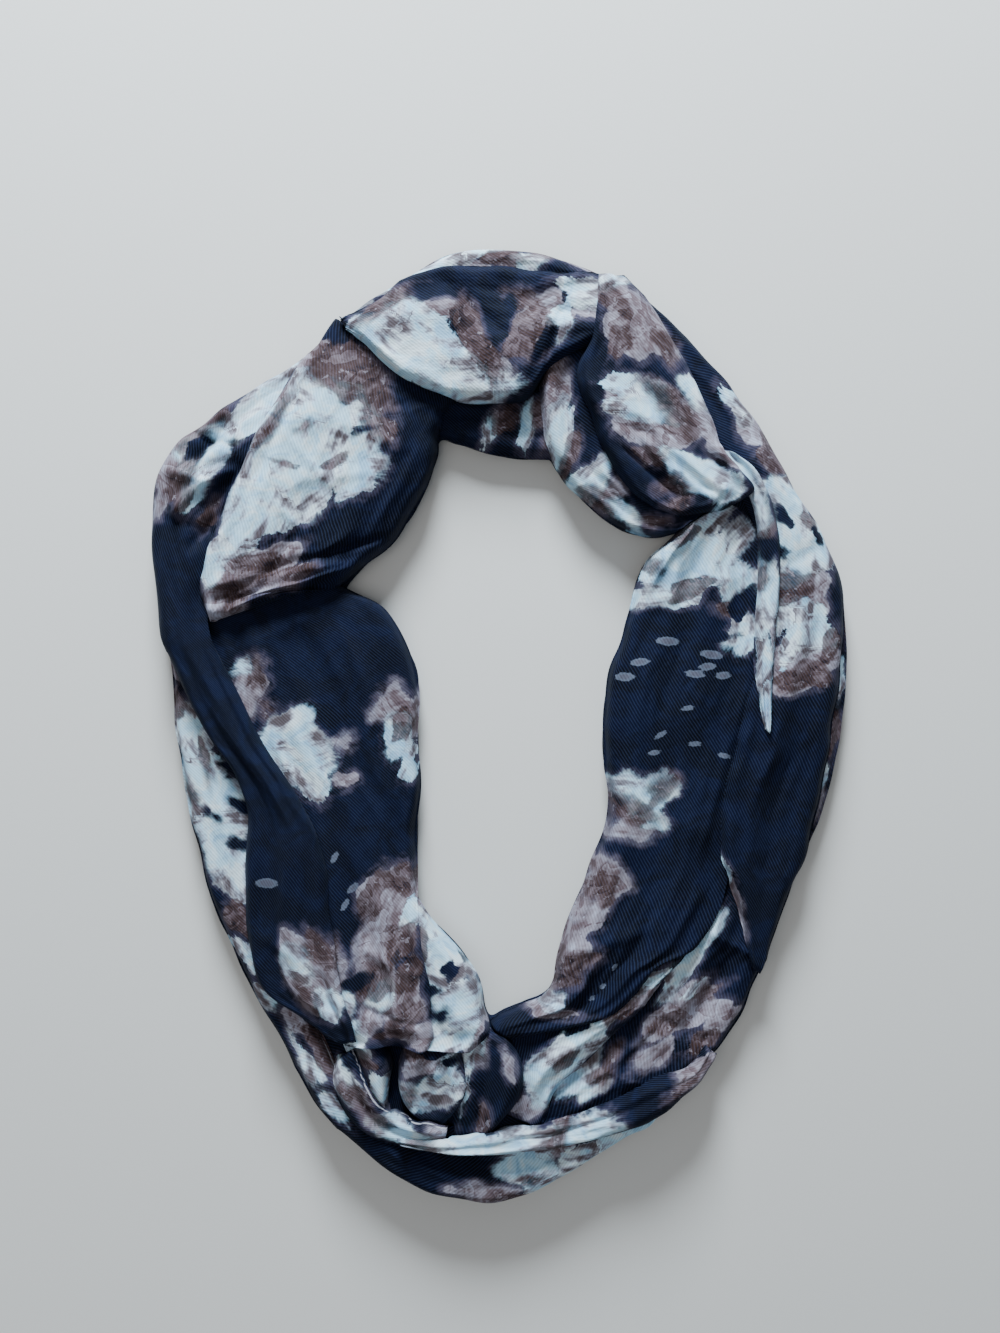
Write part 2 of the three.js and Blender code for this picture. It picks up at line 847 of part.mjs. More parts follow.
// Shares a correction at a sampled point among the corners of its triangle.
function spread(amounts, corners, weights, needed) {
  const square = weights.reduce((sum, w) => sum + w * w, 0);
  corners.forEach(([i, j], k) => {
    amounts[i][j] = Math.max(amounts[i][j], needed * weights[k] / square);
  });
}

// Raises the neighbours of lifted points until none of those stands up as a spike.
function steadyHeights(grid, lifts) {
  for (let sweep = 0; sweep < STEADY_SWEEPS; sweep += 1) {
    for (let i = 0; i < grid.length; i += 1) {
      for (let j = 0; j < grid[0].length; j += 1) {
        const point = grid[i][j];
        for (const [m, n] of [[i - 1, j], [i + 1, j], [i, j - 1], [i, j + 1]]) {
          const next = grid[m]?.[n];
          if (next && lifts[m][n] > 0) {
            const apart = Math.hypot(next.x - point.x, next.y - point.y);
            const short = next.z - SPIKE_SLOPE * apart - point.z;
            if (short > 0) {
              lifts[i][j] += short;
              point.z += short;
            }
          }
        }
      }
    }
  }
}

// Lifts a stretch until its inner face clears everything laid before it.
function lay(grid) {
  const lifts = grid.map((line) => line.map((point) =>
    Math.max(0, topsSoFar.read(point.x, point.y, higher) + CLEARANCE + WALL - point.z)));
  grid.forEach((line, i) => line.forEach((point, j) => {
    point.z += lifts[i][j];
  }));
  for (let pass = 0; pass < SETTLE_PASSES; pass += 1) {
    steadyHeights(grid, lifts);
    const more = grid.map((line) => line.map(() => 0));
    sampleGrid(shapeUnder(grid), CELL, (x, y, z, corners, weights) => {
      const needed = topsSoFar.read(x, y, higher) + CLEARANCE - z;
      if (needed > 0) {
        spread(more, corners, weights, needed);
      }
    });
    if (Math.max(...more.flat()) < SETTLED) {
      break;
    }
    more.forEach((line, i) => line.forEach((amount, j) => {
      lifts[i][j] += EASE * amount;
      grid[i][j].z += EASE * amount;
    }));
  }
}

function recordStretch(grid) {
  const under = shapeUnder(grid);
  sampleGrid(grid, CELL / 2, (x, y, z) => topsSoFar.put(x, y, z, higher));
  sampleGrid(under, CELL / 2, (x, y, z) => lowestUnder.put(x, y, z, lower));
}

// A closed geometry from a list of points and a list of triangles, its faces pointing out.
function closedGeometry(points, triangles) {
  const geometry = new THREE.BufferGeometry();
  geometry.setAttribute('position', new THREE.Float32BufferAttribute(points.flatMap((p) => [p.x, p.y, p.z]), 3));
  let volume = 0;
  for (const [a, b, c] of triangles) {
    volume += points[a].dot(new THREE.Vector3().crossVectors(points[b], points[c]));
  }
  const index = triangles.flatMap(([a, b, c]) => (volume < 0 ? [a, c, b] : [a, b, c]));
  geometry.setIndex(index);
  const merged = mergeVertices(geometry, 1e-4);
  merged.computeVertexNormals();
  return merged;
}

// The wall between a top grid and its inner face, closed round its four edges.
function wallGeometry(grid) {
  const under = shapeUnder(grid);
  const rows = grid.length;
  const columns = grid[0].length;
  const points = [...grid.flat(), ...under.flat()];
  const top = (i, j) => i * columns + j;
  const low = (i, j) => rows * columns + i * columns + j;
  const triangles = [];
  const quad = (a, b, c, d) => triangles.push([a, b, c], [a, c, d]);
  for (let i = 0; i + 1 < rows; i += 1) {
    for (let j = 0; j + 1 < columns; j += 1) {
      quad(top(i, j), top(i + 1, j), top(i + 1, j + 1), top(i, j + 1));
      triangles.push([low(i, j), low(i + 1, j + 1), low(i + 1, j)]);
      triangles.push([low(i, j), low(i, j + 1), low(i + 1, j + 1)]);
    }
    quad(top(i, 0), low(i, 0), low(i + 1, 0), top(i + 1, 0));
    quad(top(i, columns - 1), top(i + 1, columns - 1), low(i + 1, columns - 1), low(i, columns - 1));
  }
  for (let j = 0; j + 1 < columns; j += 1) {
    quad(top(0, j), top(0, j + 1), low(0, j + 1), low(0, j));
    quad(top(rows - 1, j), low(rows - 1, j), low(rows - 1, j + 1), top(rows - 1, j + 1));
  }
  return closedGeometry(points, triangles);
}

// The hidden layers: a ring with a flat underside, layered rims and a top that fills the room
// under the stretches.
function hiddenLayersGeometry() {
  const ring = [];
  for (let i = 0; i < RING_STATIONS; i += 1) {
    const [ox, oy, ix, iy] = loopRowAt(RING, i / RING_STATIONS);
    const outer = new THREE.Vector2(ox, oy);
    const innerPoint = new THREE.Vector2(ix, iy);
    const inward = innerPoint.clone().sub(outer).normalize();
    const width = outer.distanceTo(innerPoint);
    const at = (inset, z) => new THREE.Vector3(ox + inward.x * inset, oy + inward.y * inset, z);
    const section = RIM.map(([inset, z]) => at(inset, z));
    const margin = RIM[RIM.length - 1][0];
    for (let k = 1; k < CORE_ACROSS; k += 1) {
      section.push(at(margin + (width - 2 * margin) * k / CORE_ACROSS, NOTHING));
    }
    for (const [inset, z] of [...RIM].reverse()) {
      section.push(at(width - inset, z));
    }
    ring.push(section);
  }
  fillUnderStretches(ring);
  const columns = ring[0].length;
  const points = ring.flat();
  const triangles = [];
  for (let i = 0; i < RING_STATIONS; i += 1) {
    const next = (i + 1) % RING_STATIONS;
    for (let j = 0; j < columns; j += 1) {
      const side = (j + 1) % columns;
      const [a, b] = [i * columns + j, next * columns + j];
      const [c, d] = [next * columns + side, i * columns + side];
      triangles.push([a, b, c], [a, c, d]);
    }
  }
  return closedGeometry(points, triangles);
}

// Sets the free top points of the ring as high as the stretches above them allow.
function fillUnderStretches(ring) {
  const first = RIM.length - 1;
  const last = first + CORE_ACROSS;
  const closed = [...ring, ring[0]];
  for (const section of ring) {
    for (let j = first + 1; j < last; j += 1) {
      const found = lowestUnder.read(section[j].x, section[j].y, lower);
      section[j].z = found === NOTHING ? EDGE_HEIGHT : found - CLEARANCE;
    }
  }
  for (let pass = 0; pass < SETTLE_PASSES; pass += 1) {
    const cut = ring.map((section) => section.map(() => 0));
    const tops = closed.map((section) => section.slice(first, last + 1));
    sampleGrid(tops, CELL, (x, y, z, corners, weights) => {
      const above = lowestUnder.read(x, y, lower);
      const excess = above === NOTHING ? 0 : z + CLEARANCE - above;
      if (excess > 0) {
        spread(cut, corners.map(([i, j]) => [i % RING_STATIONS, j + first]), weights, excess);
      }
    });
    ring.forEach((section, i) => {
      for (let j = first + 1; j < last; j += 1) {
        section[j].z = Math.max(section[j].z - cut[i][j], LOWEST_FILL);
      }
    });
  }
}

function clothMaterial(colour) {
  return new THREE.MeshStandardMaterial({ color: colour, roughness: 0.78, metalness: 0 });
}

const scarf = new THREE.Group();
for (const stretch of STRETCHES) {
  const grid = shapeTop(stretch);
  lay(grid);
  recordStretch(grid);
  const mesh = new THREE.Mesh(wallGeometry(grid), clothMaterial(stretch.colour));
  mesh.name = stretch.name;
  scarf.add(mesh);
}
const hidden = new THREE.Mesh(hiddenLayersGeometry(), clothMaterial(NAVY));
hidden.name = 'hidden_layers';
scarf.add(hidden);

// The origin is the middle of the ring's box, on the floor.
const middle = new THREE.Box3().setFromObject(scarf).getCenter(new THREE.Vector3());
scarf.position.set(-middle.x, -middle.y, 0);

export default scarf;
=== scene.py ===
import math

import bpy
import numpy as np
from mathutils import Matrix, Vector

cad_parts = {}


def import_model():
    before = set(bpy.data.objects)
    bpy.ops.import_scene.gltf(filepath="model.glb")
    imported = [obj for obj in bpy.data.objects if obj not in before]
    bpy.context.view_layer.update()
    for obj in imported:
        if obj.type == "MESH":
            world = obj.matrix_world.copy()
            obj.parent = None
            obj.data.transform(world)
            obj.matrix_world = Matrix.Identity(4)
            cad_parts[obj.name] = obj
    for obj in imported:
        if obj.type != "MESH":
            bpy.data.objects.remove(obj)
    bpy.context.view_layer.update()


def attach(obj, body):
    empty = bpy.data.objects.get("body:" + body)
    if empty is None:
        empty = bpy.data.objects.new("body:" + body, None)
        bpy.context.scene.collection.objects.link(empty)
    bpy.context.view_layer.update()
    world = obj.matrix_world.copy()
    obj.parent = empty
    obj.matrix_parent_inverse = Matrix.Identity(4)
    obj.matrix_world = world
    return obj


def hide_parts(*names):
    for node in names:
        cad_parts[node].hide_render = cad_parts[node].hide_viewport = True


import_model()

# Cloth and the grid of a stretch.
METRE = 0.001
CLOTH = 0.5
CLEARANCE = 0.35
EDGE_HEIGHT = 13.8
STEP_ALONG = 1.8
STEP_ACROSS = 1.7
SEED = 7

# Height maps, in which each stretch is laid on the ones before it.
CELL = 1.25
MAP_HALF_X = 250
MAP_HALF_Y = 340
NOTHING = -1e6
MAP_FINENESS = 4
DRAPE_PASSES = 20

# Ring of hidden layers.
RING_STATIONS = 300
RIM_POINTS = 34
RIM_GAP = 0.5
RIM_PASSES = 4
CORE_ACROSS = 24
LOWEST_FILL = 8

# Rolled edges and sloping ends.
ROLL_WIDTH = 8
ROLL_DROP = 22
ROLL_SEED = 77
ROLL_LEAST = 0.85
ROLL_UNEVEN = 0.2
ROLL_STEPS_SHARE = 0.32
ROLL_WIDTH_SHARE = 0.34
NARROW_END = 24
END_DROP = 9

# Creases, wrinkles and uneven edges. Folds above TALL keep only TALL_SHARE of what is over it.
CREASE_POWER = 1.5
CREASE_GAIN = 1.3
TALL = 40
TALL_SHARE = 0.4
WRINKLE_WAVES = 6
WRINKLE_SPACING = (9, 24)
WRINKLE_RUN = (45, 120)
WRINKLE_HEIGHT = 0.8
WRINKLE_BEND = 3
WRINKLE_TURN = 0.125
WRINKLE_PATCH = 1.7
WRINKLE_POWER = 0.7
WRINKLE_CLEAR = 14
EDGE_WAVE = 0.9
EDGE_WAVES = (34, 57, 91)
EDGE_SEED = 1000
STEADY_WIDTH = 60

# Print and hem.
KINDS = ("mauve", "pale", "brown", "navy", "dab", "hem")
FAR_OUTSIDE = -60.0
BEND = 5
BEND_RUN = 15
HEM_INSET = 2.0
HEM_WIDTH = 1.1
FRINGE_WIDTH = 2.3
FRINGE_RUN = 20.0
STROKE_WIDTH = 3.2
STROKE_RUN = 17.0
LAYERS = 6.0

# Weave: its turn in degrees, its scales for each metre and its depths in metres.
TWILL_TURN = 38
WALE_SCALE = 170
SLUB_SCALE = (1500, 260, 1)
RIPPLE_SCALE = (80, 30, 1)
THREAD_DEPTH = 0.0002
RIPPLE_DEPTH = 0.0024

# Camera and floor, in metres, with the lens and its sensor in millimetres.
CAMERA_HEIGHT = 0.9
CAMERA_Y = 0.039
CAMERA_LENS = 35.0
CAMERA_SENSOR = 36
FLOOR_HALF = 3.0
FLOOR_ROUGHNESS = 0.85

# Stretches with a stitched hem line: side of the stretch, start and end share along it.
HEMS = {
    "hem_band": ["b", 0, 1],
    "outer_left_and_bottom_strip": ["b", 0.46, 0.66],
}

# Colours of the print and the weave, as red, green and blue out of 255. The weave's tones carry painted
# shade and a painted sheen.
TONES = {
    "navy_deep": [4, 6, 20], "navy_worn": [10, 16, 41], "halo": [78, 72, 90],
    "brown_dark": [34, 23, 24], "brown_mid": [72, 53, 49], "brown_light": [84, 66, 70],
    "mauve_mid": [112, 96, 100], "mauve_light": [150, 142, 152], "lilac": [180, 182, 200],
    "pale_shade": [160, 202, 230], "pale": [196, 233, 251], "pale_bright": [230, 247, 253],
    # The weave's low tone is painted shade for the twill's grooves, and the light blue on the next line is a
    # painted sheen for its high threads.
    "dab": [134, 144, 164], "hem": [206, 204, 212], "weave_painted_shade": [108, 110, 120],
    "weave_high": [255, 255, 255], "painted_sheen": [120, 146, 200], "floor": [226, 224, 220],
}

# Tints inside blooms: place on the ramp and colour.
RAMPS = {
    "mauve": [(0.30, "brown_light"), (0.43, "mauve_mid"), (0.54, "mauve_light"), (0.66, "lilac")],
    "brown": [(0.32, "brown_dark"), (0.46, "brown_mid"), (0.60, "mauve_mid")],
    "pale": [(0.34, "pale_shade"), (0.48, "pale"), (0.60, "pale_bright")],
}

# Columns: scale, detail, roughness, distortion.
NOISES = {
    "wash": [52, 4, 0.58, 0.9], "layers": [30, 2.5, 0.5, 1.6], "blots": [50, 3, 0.58, 0.5],
    "speck": [205, 3, 0.6, 0.4], "soft_patches": [22, 2, 0.5, 0], "streak": [0.8, 3, 0.55, 0],
    "strokes": [0.42, 3, 0.55, 0], "slub": [1, 2, 0.5, 0], "ripple": [1, 4, 0.55, 0],
}

# Noises that move a bloom's edge. Columns: scale, millimetres, detail.
WOBBLES = {
    "hairs": [1, 3.2, 3], "petals": [40, 8, 1], "curls": [115, 4.2, 2], "fibres": [480, 1.3, 2],
}

# Millimetres over which a bloom's edge fades. Columns: where it is crisp, where it is soft.
BLOOM_EDGES = {
    "mauve": [1.1, 5.5], "pale": [0.9, 3.4], "brown": [1.2, 5.0], "navy": [0.9, 3.5],
}

# Smooth steps from 0 to 1. Columns: value at 0, value at 1.
STEPS = {
    "soft_patches": [0.42, 0.62], "worn_navy": [0.38, 0.66], "halo": [-7.0, -1.5],
    "halo_wash": [0.50, 0.68], "mauve_rim": [-0.6, 0.6], "mauve_heart": [1.2, 4.0],
    "pale_heart": [1.0, 14.0], "chips": [0.615, 0.66], "chips_brown": [-3.0, 2.0],
    # The last step sets where the painted sheen on the twill's high threads comes in.
    "dab": [-0.3, 0.5], "dab_heart": [1.4, 2.2], "hem": [-0.4, 0.2], "painted_sheen": [0.45, 0.85],
}

# How much of each layer shows, or how much of each noise counts.
SHARES = {
    "wash": 0.50, "streak": 0.37, "layers": 0.13, "blots": 0.55, "strokes": 0.45, "halo_speck": 0.3,
    "halo": 0.62, "mauve_rim": 0.2, "pale_edge": 0.055, "brown": 0.9, "chips": 0.6, "dab": 0.5,
    # The weave share sets how far painted shade darkens the twill's low grooves; the last share is the
    # strength of the painted sheen on its high threads.
    "dab_heart": 0.35, "hem": 0.75, "wale": 0.62, "slub": 0.38, "weave": 0.42, "painted_sheen": 0.055,
}

# Worn marks in the pale blooms. Columns: step's start, step's end, share, colour.
WORN = [
    [0.515, 0.565, 0.62, "lilac"],
    [0.55, 0.60, 0.70, "mauve_mid"],
    [0.59, 0.64, 0.72, "brown_mid"],
]

# Petals round a bloom. Columns: how many, depth, turn from one bloom to the next.
PETALS = [
    [3, 0.13, 1.7],
    [5, 0.08, 2.9],
]

# Sway of the rims. Columns: size, waves round the ring, turn for each millimetre of height.
RIM_SWAY = [
    [0.35, 11, 0.5],
    [0.3, 23, 1],
]

# Lamps, in metres and watts. Columns: name, place, size, power, colour.
LIGHTS = [
    ["window", (-0.15, 1.75, 0.85), 0.7, 104, (0.80, 0.91, 1)],
    ["ceiling", (-0.6, -0.3, 2.2), 1.6, 9, (1, 0.97, 0.93)],
]
SKY = (0.84, 0.92, 1, 1)
SKY_STRENGTH = 0.28

# More creases for single stretches, in the same columns as their folds.
CREASES = {
    "outer_left_and_bottom_strip": [
        [0.02, 0.4, 0.2, 0.5, -1.5, 5], [0.25, 0.7, 0.45, 0.75, 2, 5], [0.3, 0.25, 0.5, 0.3, -1.5, 5],
        [0.6, 0.7, 0.8, 0.6, -2.5, 6], [0.65, 0.15, 0.9, 0.2, 2, 5], [0.75, 0.8, 0.98, 0.75, 2, 5],
    ],
    "top_under_layer": [
        [0.2, 0.3, 0.7, 0.35, 2, 4], [0.5, 0.7, 0.95, 0.65, -2, 4],
    ],
    "lower_right_panel": [
        [0.2, 0.15, 0.6, 0.2, 3, 5], [0.3, 0.65, 0.7, 0.6, -3, 6], [0.5, 0.35, 0.9, 0.3, 3, 5],
        [0.15, 0.8, 0.5, 0.85, 2, 5], [0.6, 0.8, 0.95, 0.85, 2.5, 5],
    ],
    "lower_right_ridge": [
        [0.35, 0.35, 0.8, 0.4, 3, 4], [0.4, 0.6, 0.85, 0.65, 3, 5], [0.5, 0.85, 0.95, 0.85, -2, 4],
        [0.2, 0.5, 0.5, 0.45, 2, 4],
    ],
    "inner_right_panel": [
        [0.0, 0.3, 0.17, 0.1, 4, 4], [0.02, 0.55, 0.2, 0.35, -3, 6], [0.02, 0.2, 0.2, 0.3, 2, 5],
        [0.05, 0.7, 0.25, 0.8, -2.5, 6], [0.1, 0.45, 0.35, 0.4, -1.5, 8], [0.3, 0.9, 0.55, 0.8, 2, 5],
        [0.45, 0.4, 0.65, 0.5, -1.8, 8], [0.5, 0.15, 0.75, 0.2, 1.8, 6], [0.6, 0.8, 0.85, 0.7, 2.5, 6],
        [0.65, 0.55, 0.9, 0.6, -3, 5], [0.7, 0.3, 0.97, 0.35, 2.5, 5], [0.75, 0.15, 0.95, 0.2, -2, 4],
    ],
    "twist_fold": [
        [0.1, 0.2, 0.6, 0.15, 2.5, 4], [0.3, 0.75, 0.95, 0.8, 3, 4],
    ],
    "bowl_fold": [
        [0.05, 0.12, 0.5, 0.1, -3, 3], [0.1, 0.9, 0.6, 0.92, -3, 3], [0.05, 0.3, 0.6, 0.25, 2, 4],
        [0.2, 0.75, 0.8, 0.7, -2.5, 4],
    ],
    "inner_left_lobe": [
        [0.1, 0.7, 0.6, 0.75, 2, 5], [0.3, 0.2, 0.9, 0.3, -2.5, 5], [0.6, 0.75, 0.98, 0.7, 2.5, 4],
    ],
    "lower_left_roll": [
        [0.2, 0.25, 0.9, 0.3, -2, 4],
    ],
    "hem_band": [
        [0.15, 0.25, 0.6, 0.3, 1.5, 3], [0.5, 0.75, 0.95, 0.7, 1.8, 3],
    ],
    "inner_left_panel": [
        [0.05, 0.3, 0.3, 0.25, 1.8, 7], [0.15, 0.5, 0.45, 0.55, -2, 9], [0.25, 0.85, 0.6, 0.9, -1.8, 5],
        [0.5, 0.2, 0.8, 0.2, 2.2, 6], [0.6, 0.62, 0.95, 0.7, 3, 5], [0.6, 0.4, 0.96, 0.42, -3, 5],
        [0.7, 0.12, 0.95, 0.15, -2.5, 5], [0.75, 0.9, 0.98, 0.92, -2.5, 4], [0.8, 0.55, 1, 0.52, 2.5, 4],
    ],
    "outer_left_roll": [
        [0.15, 0.2, 0.24, 0.35, -6, 5], [0.2, 0.66, 0.31, 0.3, 6, 4], [0.24, 0.85, 0.33, 0.55, -4, 4],
        [0.05, 0.3, 0.2, 0.35, -2, 6], [0.12, 0.7, 0.24, 0.8, 2.5, 5], [0.3, 0.25, 0.55, 0.2, 2, 6],
        [0.35, 0.8, 0.6, 0.75, -2, 6], [0.5, 0.6, 0.75, 0.65, 2, 6], [0.7, 0.5, 0.95, 0.55, 2.5, 6],
        [0.75, 0.2, 0.95, 0.15, -2, 5], [0.85, 0.8, 1, 0.75, -2.5, 4],
    ],
    "upper_left_flap": [
        [0.36, 0.12, 0.5, 0.55, 1.3, 3.5], [0.5, 0.1, 0.66, 0.6, 1, 4], [0.74, 0.95, 0.9, 0.45, 5, 4],
        [0.82, 0.97, 0.97, 0.5, -5, 3.5], [0.6, 0.95, 0.8, 0.5, -3, 5], [0.3, 0.15, 0.62, 0.2, 2.5, 4],
        [0.05, 0.5, 0.3, 0.55, -2, 7], [0.3, 0.9, 0.6, 0.85, 1.5, 4], [0.5, 0.45, 0.9, 0.5, -2, 5],
        [0.55, 0.15, 0.85, 0.35, 2.2, 5], [0.6, 0.75, 0.92, 0.6, 2, 5], [0.75, 0.25, 0.98, 0.3, -2, 4],
        [0.8, 0.8, 0.97, 0.55, 2, 5],
    ],
    "bottom_band": [
        [0.1, 0.3, 0.45, 0.4, 2, 4], [0.3, 0.7, 0.7, 0.6, -2, 4], [0.55, 0.3, 0.9, 0.35, 2, 4],
    ],
    "outer_right_panel": [
        [0.05, 0.4, 0.3, 0.5, -2, 6], [0.2, 0.25, 0.5, 0.2, 2, 5], [0.3, 0.9, 0.55, 0.92, -1.5, 4],
        [0.35, 0.6, 0.6, 0.65, -2, 6], [0.5, 0.4, 0.75, 0.35, 2, 6], [0.6, 0.85, 0.9, 0.8, 1.8, 5],
        [0.7, 0.55, 0.95, 0.5, -2, 7],
    ],
    "narrow_right_roll": [
        [0.2, 0.3, 0.6, 0.35, -1.5, 2.5], [0.5, 0.65, 0.9, 0.6, 1.2, 2.5],
    ],
    "inner_upper_roll": [
        [0.1, 0.25, 0.5, 0.3, 2, 4], [0.4, 0.7, 0.8, 0.6, 2, 4], [0.6, 0.3, 0.95, 0.35, -2, 4],
    ],
    "top_outer_strip": [
        [0.1, 0.5, 0.5, 0.45, -2, 5], [0.5, 0.3, 0.9, 0.4, 1.8, 4],
    ],
    "top_flap": [
        [0.1, 0.8, 0.4, 0.9, 2, 5], [0.2, 0.35, 0.5, 0.45, 1.5, 7], [0.4, 0.1, 0.6, 0.5, -2.5, 6],
        [0.55, 0.5, 0.7, 0.9, 2.5, 5], [0.62, 0.2, 0.8, 0.1, 2, 5], [0.7, 0.3, 0.95, 0.6, -2.5, 5],
    ],
    "upper_right_big_fold": [
        [0.48, 0.38, 0.95, 0.8, 5, 6], [0.42, 0.6, 0.75, 0.85, -3, 6], [0.78, 0.95, 0.97, 0.5, 3, 4],
        [0.84, 0.6, 1, 0.75, -5, 3.5], [0.6, 0.35, 0.9, 0.55, 4, 4], [0.66, 0.14, 0.9, 0.42, -4, 4],
        [0.1, 0.6, 0.5, 0.7, 2.5, 6], [0.2, 0.1, 0.45, 0.2, -2, 5], [0.4, 0.2, 0.8, 0.15, 2.5, 6],
        [0.55, 0.35, 0.95, 0.3, -3, 5], [0.6, 0.65, 0.98, 0.62, 3, 5], [0.7, 0.9, 0.97, 0.85, -2.5, 4],
        [0.75, 0.45, 1, 0.42, 2.5, 4],
    ],
}

# Creases that run across a stretch.
# Columns: start t, start s, end t, end s, height, half width in mm.
CROSS_CREASES = {
    "upper_left_flap": [
        [0.12, 0.83, 0.95, 0.73, 5, 5], [0.25, 0.91, 1, 0.81, -5, 4], [0.3, 0.97, 0.9, 0.88, 3, 3.5],
        [0.1, 0.52, 0.75, 0.43, 1.6, 5], [0.2, 0.3, 0.85, 0.35, 1.5, 6],
    ],
    "upper_right_big_fold": [
        [0.05, 0.42, 0.5, 0.47, 2.5, 3.5], [0.04, 0.5, 0.42, 0.54, 2.2, 3], [0.1, 0.57, 0.5, 0.62, -2.5, 4],
        [0.55, 0.3, 0.95, 0.22, 2.5, 5], [0.3, 0.93, 0.8, 0.86, 2.5, 4],
    ],
    "top_flap": [
        [0.15, 0.3, 0.95, 0.36, 2.2, 5], [0.1, 0.5, 0.8, 0.47, -2.5, 5], [0.3, 0.72, 0.98, 0.66, 3.5, 4],
        [0.4, 0.82, 0.98, 0.78, -3.5, 4],
    ],
    "outer_left_roll": [
        [0.05, 0.2, 0.6, 0.17, -4, 4], [0.1, 0.26, 0.7, 0.23, 4, 4], [0.2, 0.31, 0.9, 0.29, -2.5, 4],
        [0.1, 0.82, 0.9, 0.86, 2, 6],
    ],
    "inner_left_panel": [
        [0.4, 0.74, 0.95, 0.79, 2.5, 5], [0.1, 0.2, 0.6, 0.14, 2, 8], [0.35, 0.86, 0.9, 0.9, -2.5, 4],
    ],
    "inner_right_panel": [
        [0.1, 0.19, 0.9, 0.15, 1.5, 6], [0.05, 0.72, 0.6, 0.68, 2.5, 6], [0.2, 0.5, 0.9, 0.54, 1.5, 9],
    ],
    "lower_right_panel": [
        [0.2, 0.2, 0.9, 0.28, 2.5, 5], [0.2, 0.5, 0.9, 0.56, -2.5, 5], [0.3, 0.72, 0.95, 0.76, 2.5, 5],
    ],
    "bowl_fold": [
        [0.1, 0.3, 0.9, 0.2, 2, 3],
    ],
    "outer_right_panel": [
        [0.15, 0.32, 0.85, 0.3, 2, 6], [0.2, 0.46, 0.9, 0.43, -1.8, 6],
    ],
    "outer_left_and_bottom_strip": [
        [0.1, 0.5, 0.9, 0.53, 2, 5], [0.1, 0.7, 0.9, 0.74, 1.8, 6],
    ],
}
# The ring of hidden layers, in step round its two edges.
# Columns: outer x, outer y, inner x, inner y.
RING = [
    [-3, 324, -2, 183], [22, 322, 13, 181], [47, 315, 27, 181], [71, 307, 34, 181], [94, 294, 40, 171],
    [116, 276, 52, 157], [138, 252, 67, 143], [159, 226, 84, 132], [177, 202, 104, 128],
    [195, 174, 120, 130], [210, 147, 109, 120], [225, 121, 97, 107], [234, 94, 91, 89], [237, 64, 87, 69],
    [237, 34, 78, 45], [233, -7, 71, 13], [222, -54, 70, -17], [209, -88, 73, -40], [198, -115, 73, -64],
    [187, -148, 66, -89], [172, -179, 54, -116], [157, -212, 43, -144], [134, -244, 36, -175],
    [111, -269, 30, -185], [79, -286, 16, -191], [46, -307, 3, -197], [18, -321, -6, -201],
    [-13, -325, -10, -195], [-43, -321, -13, -178], [-74, -306, -24, -159], [-101, -282, -38, -143],
    [-128, -255, -51, -130], [-145, -222, -56, -118], [-165, -190, -56, -91], [-187, -144, -56, -60],
    [-204, -93, -55, -27], [-216, -40, -56, 4], [-223, 7, -56, 36], [-226, 47, -69, 62],
    [-234, 81, -82, 80], [-237, 121, -99, 88], [-236, 155, -104, 94], [-225, 185, -86, 114],
    [-197, 209, -62, 139], [-176, 224, -51, 159], [-151, 239, -44, 178], [-126, 255, -40, 194],
    [-97, 284, -30, 192], [-67, 304, -20, 189], [-34, 320, -11, 186],
]

# Section of a rim of the hidden layers, from the floor up. Columns: inset from the outline, height.
RIM = [
    [3.2, 0], [1.2, 1.1], [1.2, 2.9], [3.0, 3.8], [1.0, 4.9], [1.1, 6.7], [2.9, 7.6], [1.3, 8.7],
    [1.6, 10.3], [4.2, 11.4],
]

